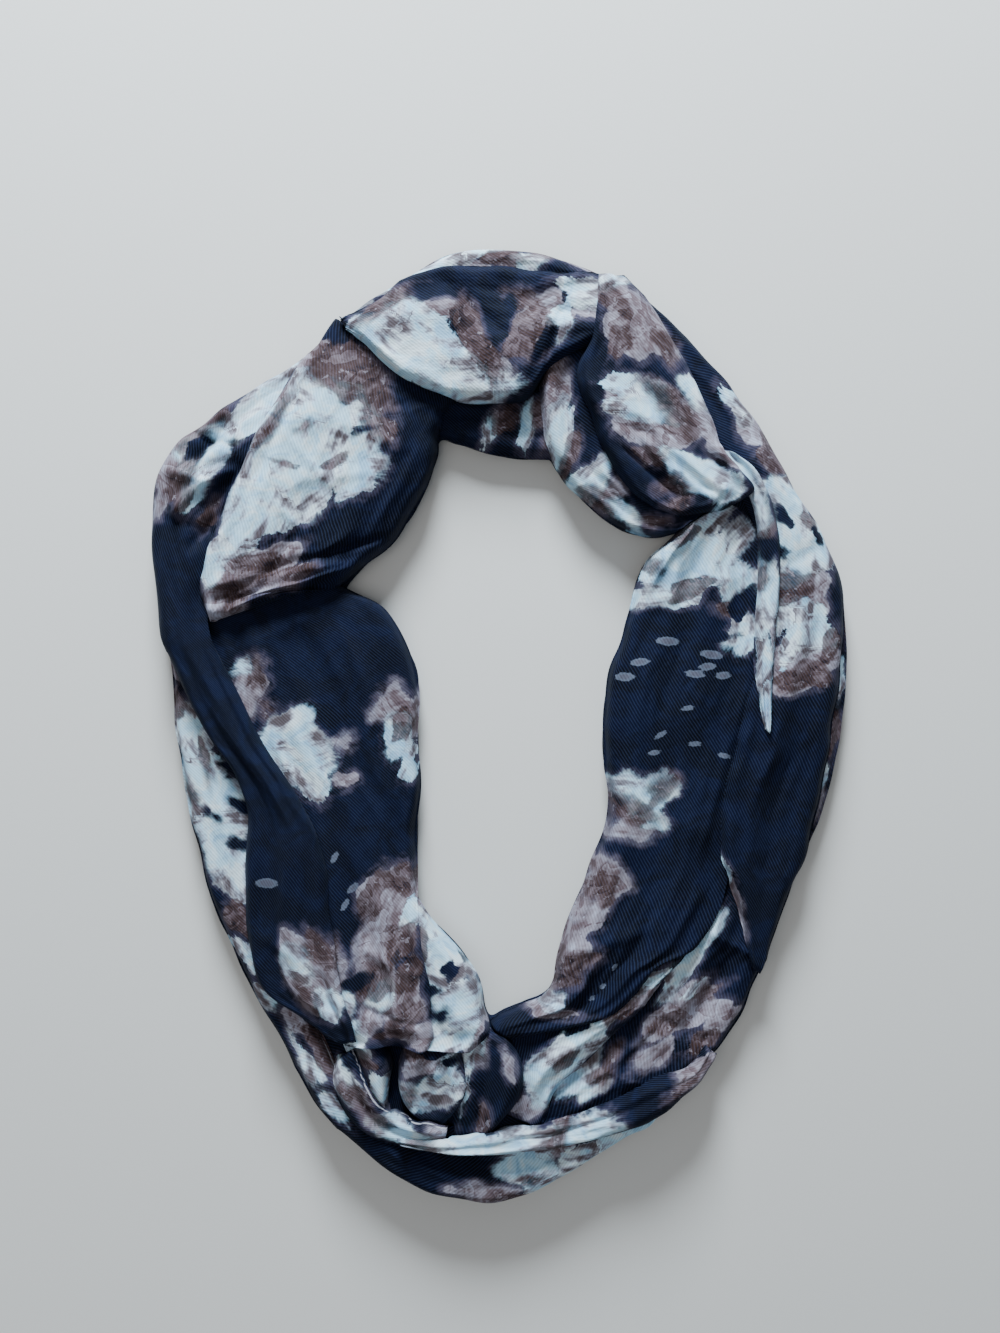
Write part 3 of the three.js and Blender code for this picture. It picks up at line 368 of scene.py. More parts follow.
# The stretches that show, lowest first.
# Row columns: edge a x, y, edge b x, y, height at a, height at b.
# Fold columns: start along, start across, end along, end across (shares), height, half width.
STRETCHES = [
  dict(
    name="lower_left_under_fold", crown=2,
    rows=[
      [-168, -158, -144, -151, 18, 20], [-160, -185, -131, -171, 18, 20], [-144, -215, -118, -192, 19, 21],
      [-134, -239, -97, -212, 19, 21], [-122, -259, -94, -242, 19, 21], [-104, -276, -86, -259, 19, 21],
      [-77, -286, -71, -265, 18, 20],
    ],
  ),
  dict(
    name="outer_left_and_bottom_strip", crown=2, free_a=[0, 1], free_b=[0.42, 0.66],
    rows=[
      [-230, 65, -216, 57, 20, 18], [-224, 34, -208, 24, 21, 18], [-222, -3, -188, -7, 22, 18],
      [-215, -44, -163, -44, 23, 19], [-208, -79, -160, -79, 23, 19], [-197, -121, -160, -118, 23, 19],
      [-183, -152, -156, -148, 23, 20], [-167, -187, -144, -175, 24, 22], [-145, -222, -122, -206, 25, 26],
      [-125, -258, -106, -240, 26, 28], [-101, -284, -86, -262, 27, 28], [-67, -310, -57, -265, 27, 26],
      [-28, -325, -26, -272, 27, 25], [13, -322, 7, -272, 27, 25], [46, -307, 38, -269, 26, 24],
      [79, -286, 73, -259, 25, 22], [103, -274, 97, -249, 24, 20], [122, -253, 116, -242, 21, 18],
    ],
    folds=[
      [0.55, 0.35, 0.95, 0.4, 2.5, 9], [0.12, 0.55, 0.4, 0.45, 2, 7],
    ],
  ),
  dict(
    name="outer_right_under_edge", crown=0.5, free_b=[0, 1],
    rows=[
      [222, 92, 235, 88, 16, 16], [218, 40, 237, 40, 17, 17], [213, 3, 234, 2, 17, 17],
      [206, -30, 228, -32, 17, 17], [198, -63, 218, -66, 16, 16], [192, -88, 208, -90, 15, 15],
    ],
  ),
  dict(
    name="top_under_layer", crown=1, free_b=[0, 1],
    rows=[
      [-50, 226, -42, 196, 20, 19], [-27, 224, -25, 191, 20, 19], [-7, 224, -9, 185, 20, 19],
      [10, 224, 8, 182, 20, 19], [27, 226, 22, 181, 20, 19], [46, 222, 36, 180, 20, 19],
    ],
    folds=[[0.1, 0.6, 0.85, 0.45, 2.2, 6]],
  ),
  dict(
    name="lower_right_panel", crown=1, free_b=[0.3, 0.75], start_roll=12,
    rows=[
      [138, -84, 161, -84, 20, 22], [134, -111, 169, -114, 20, 22], [124, -134, 178, -141, 19, 22],
      [111, -155, 180, -161, 19, 22], [97, -175, 170, -184, 19, 22], [82, -193, 160, -207, 19, 23],
      [66, -208, 146, -226, 19, 23], [50, -224, 128, -244, 20, 22], [37, -239, 101, -255, 21, 22],
      [24, -252, 67, -269, 22, 22], [13, -262, 40, -274, 22, 22],
    ],
    folds=[
      [0.12, 0.4, 0.5, 0.42, 6, 8], [0.5, 0.62, 0.95, 0.5, 5, 11],
    ],
  ),
  dict(
    name="lower_right_ridge", crown=2, free_b=[0, 1], start_roll=10,
    rows=[
      [122, -134, 134, -144, 26, 27], [104, -158, 123, -159, 26, 28], [89, -175, 110, -173, 26, 29],
      [74, -187, 94, -194, 26, 29], [57, -193, 79, -209, 26, 29], [37, -195, 63, -224, 26, 30],
      [17, -204, 46, -240, 26, 30], [5, -218, 34, -251, 26, 29], [2, -242, 32, -263, 25, 27],
      [0, -262, 27, -272, 22, 24],
    ],
    folds=[[0.45, 0.3, 0.9, 0.35, -3, 7]],
  ),
  dict(
    name="inner_right_panel", crown=3, free_a=[0, 1], free_b=[0.7, 1], start_roll=6, end_roll=8,
    rows=[
      [122, 132, 150, 150, 27, 28], [113, 123, 165, 141, 27, 29], [98, 108, 180, 119, 26, 28],
      [90, 87, 181, 91, 25, 27], [85, 64, 180, 64, 25, 26], [76, 40, 178, 36, 25, 26],
      [71, 9, 173, 9, 25, 26], [70, -17, 167, -20, 24, 25], [73, -40, 160, -47, 24, 25],
      [73, -64, 155, -74, 24, 25], [62, -95, 153, -101, 25, 25], [51, -121, 149, -121, 26, 27],
      [42, -148, 134, -149, 27, 30], [36, -175, 106, -163, 27, 33], [30, -185, 81, -190, 28, 33],
      [16, -191, 50, -202, 28, 33], [3, -197, 22, -209, 28, 32], [-8, -203, 3, -214, 26, 28],
    ],
    folds=[
      [0.02, 0.5, 0.4, 0.62, 3.5, 13], [0.25, 0.25, 0.62, 0.2, 2.5, 9], [0.4, 0.75, 0.75, 0.6, 3.2, 11],
      [0.72, 0.45, 0.95, 0.5, -3.5, 8],
    ],
  ),
  dict(
    name="twist_fold", crown=3, free_b=[0, 1], start_roll=8,
    rows=[
      [-26, -205, -10, -204, 28, 29], [-31, -213, 4, -211, 30, 33], [-31, -225, 13, -222, 31, 35],
      [-30, -239, 16, -233, 31, 36], [-32, -252, 13, -249, 30, 35], [-32, -265, 5, -263, 28, 32],
      [-31, -280, -7, -277, 24, 26],
    ],
    folds=[[0.25, 0.42, 0.98, 0.5, -5, 5]],
  ),
  dict(
    name="bowl_fold", crown=1, free_a=[0, 1], free_b=[0, 1], end_roll=9,
    rows=[
      [-61, -203, -34, -203, 33, 34], [-65, -218, -26, -218, 35, 37], [-69, -232, -23, -233, 34, 38],
      [-70, -245, -24, -247, 33, 37], [-66, -257, -31, -260, 31, 34], [-54, -268, -36, -270, 28, 29],
    ],
    folds=[[0.45, 0.5, 0.9, 0.5, -5, 10]],
  ),
  dict(
    name="inner_left_lobe", crown=3, free_b=[0, 1], start_roll=8, end_roll=3, end_slope=26,
    rows=[
      [-66, -114, -56, -118, 24, 24], [-66, -134, -46, -134, 27, 28], [-64, -155, -28, -154, 30, 31],
      [-61, -175, -15, -173, 33, 33], [-58, -192, -10, -192, 36, 35], [-54, -206, -7, -205, 39, 36],
      [-50, -216, -20, -218, 38, 38],
    ],
    folds=[[0.2, 0.4, 0.85, 0.55, 2.5, 9]],
  ),
  dict(
    name="lower_left_roll", crown=2, free_b=[0, 1], end_roll=5,
    rows=[
      [-113, -195, -82, -196, 28, 32], [-107, -212, -78, -215, 28, 33], [-101, -226, -74, -230, 28, 33],
      [-95, -240, -75, -244, 28, 32], [-87, -252, -76, -257, 28, 30], [-80, -261, -73, -264, 26, 27],
    ],
    folds=[[0.1, 0.55, 0.8, 0.6, 2.5, 7]],
  ),
  dict(
    name="hem_band", crown=2, free_a=[0, 1], free_b=[0, 1], start_roll=7,
    rows=[
      [-110, -224, -98, -217, 32, 32], [-112, -239, -90, -237, 31, 33], [-104, -259, -81, -253, 31, 33],
      [-93, -272, -71, -261, 31, 33], [-77, -280, -59, -265, 31, 34], [-59, -284, -47, -266, 31, 34],
      [-38, -283, -35, -270, 29, 31],
    ],
    folds=[[0.2, 0.5, 0.8, 0.45, -2, 5]],
  ),
  dict(
    name="inner_left_panel", crown=2, free_b=[0, 1], end_roll=3, end_slope=34,
    rows=[
      [-198, 94, -114, 99, 26, 24], [-205, 74, -99, 89, 26, 24], [-202, 57, -77, 77, 26, 25],
      [-192, 34, -62, 50, 27, 25], [-180, 7, -55, 24, 27, 25], [-165, -20, -56, -10, 27, 25],
      [-151, -47, -55, -44, 27, 25], [-136, -74, -56, -77, 27, 25], [-128, -104, -56, -108, 28, 27],
      [-124, -134, -55, -131, 29, 31], [-122, -161, -50, -161, 31, 34], [-121, -185, -46, -188, 33, 37],
      [-116, -204, -44, -205, 35, 40], [-104, -215, -50, -217, 35, 40],
    ],
    folds=[
      [0.2, 0.72, 0.62, 0.74, 3.2, 8], [0.3, 0.35, 0.6, 0.45, 2.5, 14], [0.66, 0.5, 0.98, 0.6, -5, 9],
      [0.74, 0.8, 0.99, 0.8, 3, 9], [0.74, 0.25, 0.98, 0.32, 3, 9],
    ],
  ),
  dict(
    name="outer_left_roll", crown=3, free_a=[0, 1], free_b=[0.48, 1], end_roll=8,
    rows=[
      [-126, 255, -106, 232, 26, 28], [-151, 239, -126, 212, 27, 29], [-176, 224, -142, 194, 28, 29],
      [-198, 208, -156, 172, 28, 30], [-220, 192, -167, 149, 28, 30], [-234, 166, -177, 126, 28, 30],
      [-238, 131, -184, 103, 28, 30], [-235, 97, -194, 81, 29, 31], [-231, 64, -193, 57, 30, 33],
      [-222, 41, -180, 28, 31, 34], [-204, 2, -160, -11, 32, 35], [-185, -24, -137, -47, 33, 36],
      [-173, -50, -125, -69, 33, 36], [-171, -81, -118, -92, 33, 36], [-172, -114, -114, -121, 33, 36],
      [-169, -148, -110, -151, 33, 36], [-160, -178, -106, -178, 34, 37], [-133, -197, -99, -195, 34, 37],
      [-108, -214, -96, -211, 33, 36],
    ],
    folds=[
      [0.16, 0.45, 0.27, 0.3, 5, 6], [0.18, 0.75, 0.27, 0.62, -7, 7], [0.25, 0.5, 0.5, 0.5, 3.5, 10],
      [0.55, 0.35, 0.95, 0.3, -3, 9],
    ],
  ),
  dict(
    name="upper_left_flap", crown=4, free_a=[0, 1], free_b=[0, 1], end_roll=12,
    rows=[
      [-113, 275, -30, 218, 30, 26], [-123, 256, -38, 210, 33, 27], [-132, 247, -40, 202, 35, 28],
      [-146, 225, -42, 192, 36, 28], [-160, 200, -44, 178, 37, 28], [-171, 177, -51, 159, 37, 28],
      [-181, 155, -62, 139, 37, 28], [-190, 134, -77, 120, 37, 28], [-197, 116, -94, 107, 37, 29],
      [-200, 96, -111, 92, 37, 30], [-198, 81, -134, 89, 36, 32], [-194, 69, -160, 80, 34, 33],
    ],
    folds=[
      [0.15, 0.3, 0.75, 0.25, 3, 14], [0.2, 0.8, 0.7, 0.7, 3, 11], [0.72, 0.6, 0.92, 0.1, -5, 6],
    ],
  ),
  dict(
    name="bottom_band", crown=4, free_a=[0, 1], free_b=[0, 1], start_roll=8, end_roll=8,
    rows=[
      [147, -224, 139, -217, 25, 26], [138, -240, 126, -231, 28, 30], [122, -255, 103, -239, 30, 32],
      [103, -267, 79, -252, 31, 33], [81, -274, 54, -261, 31, 33], [56, -280, 30, -268, 32, 34],
      [32, -285, 3, -271, 33, 35], [0, -288, -24, -276, 33, 36], [-34, -288, -45, -277, 33, 35],
      [-66, -280, -69, -276, 31, 32],
    ],
  ),
  dict(
    name="outer_right_panel", crown=3, free_a=[0.58, 1], free_b=[0, 1], end_roll=8,
    rows=[
      [67, 284, 85, 302, 28, 25], [82, 267, 104, 286, 30, 26], [100, 247, 125, 267, 31, 27],
      [117, 223, 144, 245, 31, 27], [131, 200, 165, 220, 31, 27], [146, 173, 183, 194, 31, 27],
      [163, 149, 202, 159, 31, 27], [174, 127, 219, 131, 30, 27], [177, 97, 232, 101, 30, 26],
      [176, 64, 235, 67, 29, 25], [171, 34, 231, 36, 29, 25], [163, 5, 227, 2, 30, 25],
      [158, -20, 222, -29, 30, 25], [151, -50, 215, -64, 30, 25], [148, -84, 206, -96, 30, 25],
      [155, -104, 198, -116, 29, 25], [163, -134, 188, -143, 28, 24], [169, -163, 177, -170, 25, 24],
    ],
    folds=[
      [0.2, 0.5, 0.75, 0.42, 3, 11], [0.38, 0.8, 0.7, 0.75, 2.5, 9], [0.55, 0.25, 0.95, 0.3, 2.5, 8],
    ],
  ),
  dict(
    name="narrow_right_roll", crown=2, free_a=[0, 1], free_b=[0, 1], start_roll=8, end_roll=5,
    rows=[
      [143, 186, 156, 181, 30, 30], [153, 173, 169, 172, 33, 33], [163, 158, 179, 155, 35, 35],
      [170, 142, 185, 134, 35, 35], [173, 118, 187, 116, 35, 35], [173, 91, 187, 91, 34, 34],
      [171, 64, 185, 60, 34, 34], [171, 36, 182, 31, 32, 32], [174, 13, 181, 9, 30, 30],
      [177, -3, 180, -6, 27, 27],
    ],
  ),
  dict(
    name="inner_upper_roll", crown=2, free_a=[0, 1], start_roll=9,
    rows=[
      [31, 251, 57, 256, 30, 30], [27, 229, 60, 236, 30, 29], [29, 205, 67, 215, 29, 28],
      [34, 183, 75, 192, 28, 28], [44, 165, 84, 171, 28, 28], [61, 149, 97, 159, 28, 29],
      [79, 135, 113, 151, 28, 30], [99, 127, 128, 146, 29, 31], [118, 129, 138, 143, 30, 31],
    ],
    folds=[[0.05, 0.45, 0.9, 0.5, -3, 8]],
  ),
  dict(
    name="top_outer_strip", crown=1, free_a=[0, 1], start_roll=8,
    rows=[
      [-108, 274, -98, 262, 22, 24], [-98, 283, -87, 269, 24, 26], [-79, 295, -67, 279, 25, 26],
      [-58, 308, -47, 288, 25, 26], [-34, 321, -28, 294, 25, 26], [-3, 324, -1, 294, 25, 26],
      [24, 322, 20, 294, 25, 26], [47, 315, 40, 290, 25, 26], [68, 307, 62, 287, 25, 26],
      [84, 302, 74, 284, 25, 26],
    ],
  ),
  dict(
    name="top_flap", crown=5, free_a=[0, 1], free_b=[0, 1], start_roll=9, end_roll=6,
    rows=[
      [-107, 271, -103, 265, 31, 32], [-99, 277, -92, 256, 31, 33], [-82, 287, -79, 243, 31, 35],
      [-66, 299, -60, 230, 31, 36], [-43, 308, -40, 222, 31, 36], [-20, 310, -20, 216, 31, 36],
      [3, 308, 1, 217, 31, 36], [24, 305, 19, 221, 31, 36], [40, 304, 34, 240, 31, 36],
      [57, 304, 54, 252, 31, 36], [75, 302, 73, 256, 30, 34],
    ],
    folds=[
      [0.05, 0.55, 0.5, 0.3, 3, 11], [0.3, 0.75, 0.85, 0.55, 3, 12], [0.55, 0.2, 0.95, 0.3, -3, 9],
    ],
  ),
  dict(
    name="upper_right_big_fold", crown=5, free_a=[0, 1], free_b=[0, 1], start_roll=9, end_roll=10,
    rows=[
      [66, 301, 83, 302, 28, 28], [65, 281, 98, 287, 36, 33], [61, 260, 113, 263, 38, 35],
      [53, 243, 126, 238, 38, 36], [54, 224, 137, 217, 38, 37], [62, 206, 144, 198, 38, 37],
      [69, 187, 149, 181, 37, 38], [80, 166, 159, 170, 36, 38], [96, 149, 168, 156, 35, 38],
      [120, 139, 150, 144, 34, 36],
    ],
    folds=[
      [0.12, 0.25, 0.6, 0.3, 3.5, 10], [0.3, 0.75, 0.95, 0.8, 4, 10], [0.35, 0.52, 0.85, 0.55, -5, 10],
    ],
  ),
]


# The print, stretch by stretch: generic brushed blooms over a navy ground, with one painted highlight among
# them.
# Columns: colour, centre x, centre y, half length, half width, turn in degrees.
PRINTS = {
    "lower_left_under_fold": [
        ["pale", -126, -226, 19, 5, -53], ["brown", -108, -237, 12, 6, -50],
        ["pale", -97, -256, 10, 4, -40],
    ],
    "outer_left_and_bottom_strip": [
        ["mauve", -225, 42, 16, 6, -70], ["brown", -221, 18, 12, 6, -70], ["pale", -208, -8, 22, 14, -70],
        ["pale", -198, -44, 26, 20, -70], ["pale", -188, -70, 20, 18, 0], ["pale", -180, -98, 20, 17, -60],
        ["navy", -181, -30, 12, 4, -20], ["navy", -174, -56, 14, 5, -24], ["navy", -196, -60, 9, 3, -30],
        ["navy", -172, -82, 11, 4, -20], ["brown", -199, -26, 16, 4, -75], ["brown", -208, -50, 9, 4, -60],
        ["brown", -177, -132, 15, 8, -50], ["pale", -170, -157, 15, 8, -55],
        ["pale", -159, -184, 9, 6, -50], ["mauve", -8, -315, 22, 8, 0], ["brown", 4, -317, 13, 5, 0],
        ["pale", 20, -296, 20, 13, 10], ["pale", 42, -308, 26, 9, 14], ["mauve", 30, -287, 24, 8, 10],
        ["pale", 58, -292, 22, 11, 18], ["mauve", 78, -282, 18, 7, 26], ["pale", 92, -270, 26, 8, 30],
        ["brown", 24, -306, 11, 4, 8], ["brown", -120, -218, 17, 8, -55], ["pale", -131, -227, 20, 6, -60],
        ["mauve", -138, -200, 12, 6, -60], ["pale", -113, -256, 13, 4, -45],
        ["brown", -100, -250, 10, 5, -45],
    ],
    "outer_right_under_edge": [
        ["brown", 229, 62, 15, 7, 80], ["pale", 230, 30, 14, 5, 80], ["mauve", 230, 82, 9, 6, 80],
        ["brown", 225, -8, 16, 7, 78], ["pale", 218, -34, 12, 4, 70], ["mauve", 213, -54, 13, 7, 70],
        ["brown", 203, -82, 9, 6, 60],
    ],
    "top_under_layer": [
        ["brown", 4, 205, 11, 9, 60], ["pale", 17, 200, 15, 5, 80], ["brown", 29, 212, 10, 7, 60],
        ["pale", -8, 196, 10, 5, 70], ["brown", 34, 192, 8, 5, 60],
    ],
    "lower_right_panel": [
        ["pale", 57, -238, 18, 12, 48], ["brown", 72, -232, 15, 5, 60], ["pale", 128, -156, 36, 8, 57],
        ["mauve", 122, -194, 30, 12, 34], ["brown", 112, -202, 15, 6, 34], ["brown", 138, -184, 12, 6, 30],
        ["mauve", 152, -196, 14, 9, 40], ["pale", 128, -182, 11, 4, 40], ["mauve", 104, -224, 15, 6, 34],
        ["brown", 136, -216, 12, 6, 40],
    ],
    "lower_right_ridge": [
        ["pale", 52, -214, 30, 13, 34], ["pale", 34, -238, 20, 15, 40], ["navy", 26, -210, 17, 5, 26],
        ["navy", 54, -201, 12, 4, 34], ["mauve", 22, -256, 12, 7, 30], ["brown", 44, -226, 10, 4, 40],
        ["mauve", 96, -181, 16, 8, 35], ["pale", 100, -174, 14, 4, 36], ["brown", 86, -190, 11, 4, 36],
    ],
    "inner_right_panel": [
        ["pale", 118, 104, 32, 18, -22], ["pale", 138, 118, 22, 14, -20], ["pale", 106, 87, 20, 9, 0],
        ["pale", 158, 96, 15, 14, 80], ["mauve", 126, 100, 19, 10, 20], ["brown", 130, 92, 17, 6, 20],
        ["brown", 104, 106, 7, 6, 0], ["brown", 152, 78, 9, 6, 0], ["pale", 162, 61, 14, 11, 80],
        ["navy", 163, 82, 13, 7, 60], ["navy", 116, 61, 46, 9, 3], ["dab", 113, 56, 8, 3, -4],
        ["dab", 142, 47, 8, 3, -8], ["dab", 139, 39, 6, 2.6, 5], ["dab", 94, 42, 7, 2.6, 6],
        ["dab", 84, 32, 7, 3, 0], ["dab", 131, 34, 7, 2.6, -6], ["dab", 150, 33, 6, 2.6, 4],
        ["dab", 126, 11, 5, 1.8, 10], ["dab", 108, -7, 5, 1.8, 30], ["dab", 131, -13, 5, 1.8, 0],
        ["dab", 104, -19, 5, 1.8, 10], ["dab", 151, -21, 5, 1.8, -12], ["pale", 98, -50, 19, 15, 30],
        ["pale", 87, -40, 10, 8, 0], ["mauve", 91, -67, 17, 11, 10], ["brown", 88, -58, 17, 10, -30],
        ["brown", 108, -44, 11, 8, 40], ["pale", 102, -64, 9, 7, 0], ["mauve", 70, -104, 15, 16, 60],
        ["brown", 66, -110, 14, 11, 60], ["brown", 58, -94, 8, 8, 0], ["mauve", 60, -127, 14, 11, 70],
        ["mauve", 49, -150, 15, 13, 70], ["brown", 50, -159, 17, 9, 20], ["brown", 40, -173, 11, 7, 20],
        # The thin mauve streak at 36, -193 is a painted highlight on the navy lower roll.
        ["pale", 37, -186, 7, 6, 0], ["mauve", 36, -193, 18, 4, -8], ["dab", 77, -163, 2.6, 1.5, 50],
        ["dab", 69, -176, 2.6, 1.5, 40], ["dab", 62, -184, 2.4, 1.4, 40], ["pale", 140, 134, 20, 9, 30],
        ["brown", 126, 128, 10, 5, 30], ["pale", 158, 126, 15, 11, 60], ["mauve", 146, 133, 9, 5, 30],
    ],
    "twist_fold": [
        ["mauve", -18, -218, 15, 10, 80], ["pale", -21, -226, 13, 3.5, 80], ["pale", -12, -214, 9, 2.6, 80],
        ["pale", -25, -248, 12, 3.5, 84], ["brown", -12, -268, 8, 5, 80], ["mauve", 4, -222, 12, 4, -70],
    ],
    "bowl_fold": [
        ["pale", -46, -247, 20, 12, 10], ["pale", -35, -234, 13, 9, 80], ["mauve", -53, -226, 13, 9, 20],
        ["navy", -31, -224, 6, 3.5, 20], ["navy", -44, -217, 8, 3.5, 10], ["brown", -57, -219, 8, 5, 20],
        ["brown", -60, -246, 7, 4, 80],
    ],
    "inner_left_lobe": [
        ["pale", -42, -134, 20, 15, 80], ["pale", -34, -158, 22, 19, 0], ["pale", -27, -184, 18, 15, 0],
        ["mauve", -52, -121, 9, 7, 0], ["brown", -53, -150, 14, 5, 80], ["navy", -31, -164, 8, 7, 30],
        ["navy", -46, -178, 9, 4, 30], ["navy", -40, -193, 9, 4, 20], ["pale", -32, -208, 13, 7, 20],
        ["mauve", -18, -204, 10, 7, 60], ["pale", -40, -199, 5, 4, 0], ["mauve", -12, -194, 9, 6, 80],
        ["mauve", -24, -146, 8, 5, 40],
    ],
    "lower_left_roll": [
        ["pale", -99, -213, 15, 9, -50], ["brown", -89, -226, 12, 5, -24], ["pale", -81, -241, 12, 7, -70],
        ["mauve", -82, -247, 11, 5, -70],
    ],
    "hem_band": [
        ["pale", -104, -236, 18, 7, -55], ["navy", -101, -226, 6, 4, 0], ["brown", -95, -250, 14, 6, -50],
        ["brown", -83, -264, 11, 5, -40], ["pale", -72, -271, 16, 7, -26], ["pale", -58, -276, 11, 5, -10],
        ["mauve", -44, -275, 11, 7, 0],
    ],
    "inner_left_panel": [
        ["pale", -142, -8, 20, 19, 40], ["pale", -131, -30, 22, 16, -60], ["pale", -134, -18, 24, 18, 0],
        ["mauve", -168, 23, 20, 11, 80], ["brown", -164, 31, 12, 7, 80], ["pale", -173, 38, 9, 6, 0],
        ["brown", -159, 12, 10, 7, -60], ["mauve", -106, -12, 9, 6, 10], ["mauve", -104, -37, 9, 5, 0],
        ["mauve", -72, 13, 13, 12, 0], ["pale", -70, -8, 15, 9, 80], ["brown", -66, -1, 11, 6, 70],
        ["pale", -62, -28, 13, 6, 80], ["mauve", -58, 6, 14, 5, 80], ["dab", -111, -89, 4.5, 2, 60],
        ["dab", -104, -121, 4.5, 2, 60], ["dab", -99, -110, 5, 2.4, 40], ["mauve", -74, -120, 26, 19, 60],
        ["brown", -69, -104, 14, 10, 10], ["brown", -86, -118, 14, 8, 70], ["mauve", -80, -150, 27, 15, 80],
        ["brown", -69, -146, 16, 11, 70], ["brown", -82, -171, 14, 9, 60], ["mauve", -66, -182, 20, 15, 80],
        ["brown", -61, -166, 12, 8, 70], ["brown", -58, -192, 12, 7, 70], ["pale", -62, -130, 13, 6, 70],
        ["pale", -79, -181, 11, 7, 70], ["pale", -108, -186, 13, 8, -50], ["navy", -97, -172, 11, 4, 20],
        ["mauve", -116, -168, 17, 12, 70], ["brown", -119, -158, 12, 9, 60],
        ["brown", -72, -204, 14, 7, 20], ["mauve", -88, -200, 14, 9, 60], ["pale", -98, -206, 10, 8, -40],
        ["brown", -104, -196, 10, 5, -60], ["mauve", -56, -206, 10, 8, 0],
    ],
    "outer_left_roll": [
        ["pale", -163, 214, 36, 12, 40], ["pale", -196, 188, 26, 13, 40], ["brown", -206, 198, 16, 8, 50],
        ["brown", -188, 208, 15, 5, 36], ["mauve", -220, 170, 24, 12, 75], ["brown", -214, 160, 18, 12, 70],
        ["pale", -204, 157, 16, 8, 60], ["mauve", -229, 148, 12, 6, 80], ["brown", -196, 140, 12, 5, 70],
        ["dab", -156, -106, 8, 3.4, 0], ["mauve", -126, -164, 26, 17, -60],
        ["brown", -121, -150, 14, 9, -50], ["pale", -133, -161, 15, 8, -60],
        ["pale", -115, -184, 13, 8, -50], ["brown", -128, -180, 12, 6, -50], ["navy", -201, 188, 10, 5, 50],
        ["brown", -208, 176, 12, 5, 50], ["pale", -199, 166, 16, 5, 52],
    ],
    "upper_left_flap": [
        ["mauve", -112, 230, 30, 20, -30], ["pale", -116, 211, 32, 24, -10],
        ["pale", -128, 181, 46, 34, 50], ["pale", -158, 149, 34, 24, 52], ["pale", -98, 168, 20, 16, 0],
        ["brown", -100, 241, 24, 12, -40], ["brown", -86, 222, 20, 11, -60],
        ["brown", -83, 201, 15, 9, -50], ["brown", -151, 202, 20, 5, 58], ["mauve", -120, 186, 18, 6, -20],
        ["brown", -141, 173, 13, 3.4, -20], ["brown", -110, 176, 12, 3.4, 30],
        ["navy", -92, 196, 8, 3.4, 20], ["mauve", -172, 101, 24, 19, 20], ["brown", -161, 104, 14, 11, 0],
        ["mauve", -184, 82, 16, 12, 60], ["brown", -176, 88, 12, 8, 40], ["pale", -190, 112, 14, 8, 70],
        ["pale", -172, 118, 14, 4, 20], ["mauve", -150, 168, 14, 6, 40], ["mauve", -108, 196, 14, 6, 10],
        ["brown", -128, 200, 9, 4, 30], ["mauve", -150, 112, 18, 8, 20], ["brown", -138, 100, 14, 6, 20],
        ["mauve", -140, 190, 16, 5, 60], ["navy", -112, 262, 9, 8, 0], ["brown", -106, 238, 28, 19, -30],
        ["mauve", -141, 220, 36, 7, 52],
    ],
    "bottom_band": [
        ["pale", -18, -281, 42, 9, 0], ["mauve", -2, -286, 22, 4, 4], ["brown", -53, -278, 8, 4, 0],
        ["mauve", -34, -283, 16, 3.4, 0], ["pale", 18, -276, 24, 7, 8], ["brown", 40, -272, 14, 5, 70],
        ["pale", 62, -269, 19, 9, 16], ["mauve", 26, -282, 18, 3.4, 10], ["mauve", 131, -233, 17, 6, 40],
        ["brown", 122, -242, 12, 4, 36],
    ],
    "outer_right_panel": [
        ["mauve", 95, 269, 15, 8, -40], ["brown", 108, 258, 12, 6, -40], ["pale", 158, 215, 15, 7, -50],
        ["mauve", 172, 196, 16, 11, -50], ["brown", 183, 182, 17, 12, -60], ["pale", 195, 151, 21, 15, -60],
        ["pale", 202, 120, 26, 22, -70], ["pale", 188, 108, 16, 14, 0], ["navy", 190, 139, 11, 5, -50],
        ["navy", 215, 126, 9, 4, -60], ["navy", 186, 116, 9, 4, -30], ["brown", 208, 136, 10, 5, -50],
        ["mauve", 208, 86, 22, 15, -80], ["brown", 196, 93, 17, 11, 20], ["pale", 208, 64, 20, 17, -80],
        ["pale", 190, 70, 12, 8, 80], ["mauve", 202, 40, 26, 17, 20], ["brown", 205, 33, 18, 10, 10],
        ["brown", 222, 54, 13, 7, 80], ["pale", 192, 50, 12, 6, 80], ["mauve", 156, -114, 24, 5, -72],
        ["pale", 152, -100, 12, 3, -75],
    ],
    "narrow_right_roll": [
        ["pale", 162, 166, 15, 11, -40], ["pale", 172, 141, 16, 7, -70], ["brown", 178, 126, 9, 6, 80],
        ["navy", 179, 118, 9, 7, 80], ["pale", 178, 84, 28, 8, 88], ["mauve", 183, 72, 16, 4, 88],
        ["brown", 175, 102, 9, 4, 80], ["pale", 177, 44, 20, 6, 85], ["mauve", 182, 50, 12, 4, 85],
        ["pale", 177, 12, 18, 4, 88],
    ],
    "inner_upper_roll": [
        ["mauve", 38, 218, 28, 9, 84], ["brown", 36, 238, 12, 8, 80], ["pale", 41, 196, 22, 8, 80],
        ["brown", 48, 182, 15, 5, 70], ["pale", 60, 164, 18, 11, 40], ["brown", 66, 152, 13, 7, -40],
        ["pale", 84, 142, 16, 6, -34], ["mauve", 76, 158, 10, 6, 40], ["brown", 103, 136, 13, 5, 0],
    ],
    "top_outer_strip": [
        ["pale", -50, 304, 32, 10, 24], ["pale", -14, 321, 20, 5, 8], ["mauve", -30, 306, 22, 4, 14],
        ["brown", 3, 316, 14, 8, 0], ["pale", 18, 312, 9, 7, 0], ["brown", 28, 320, 9, 5, 0],
        ["mauve", 62, 310, 14, 5, -20], ["pale", -100, 268, 18, 6, 50],
    ],
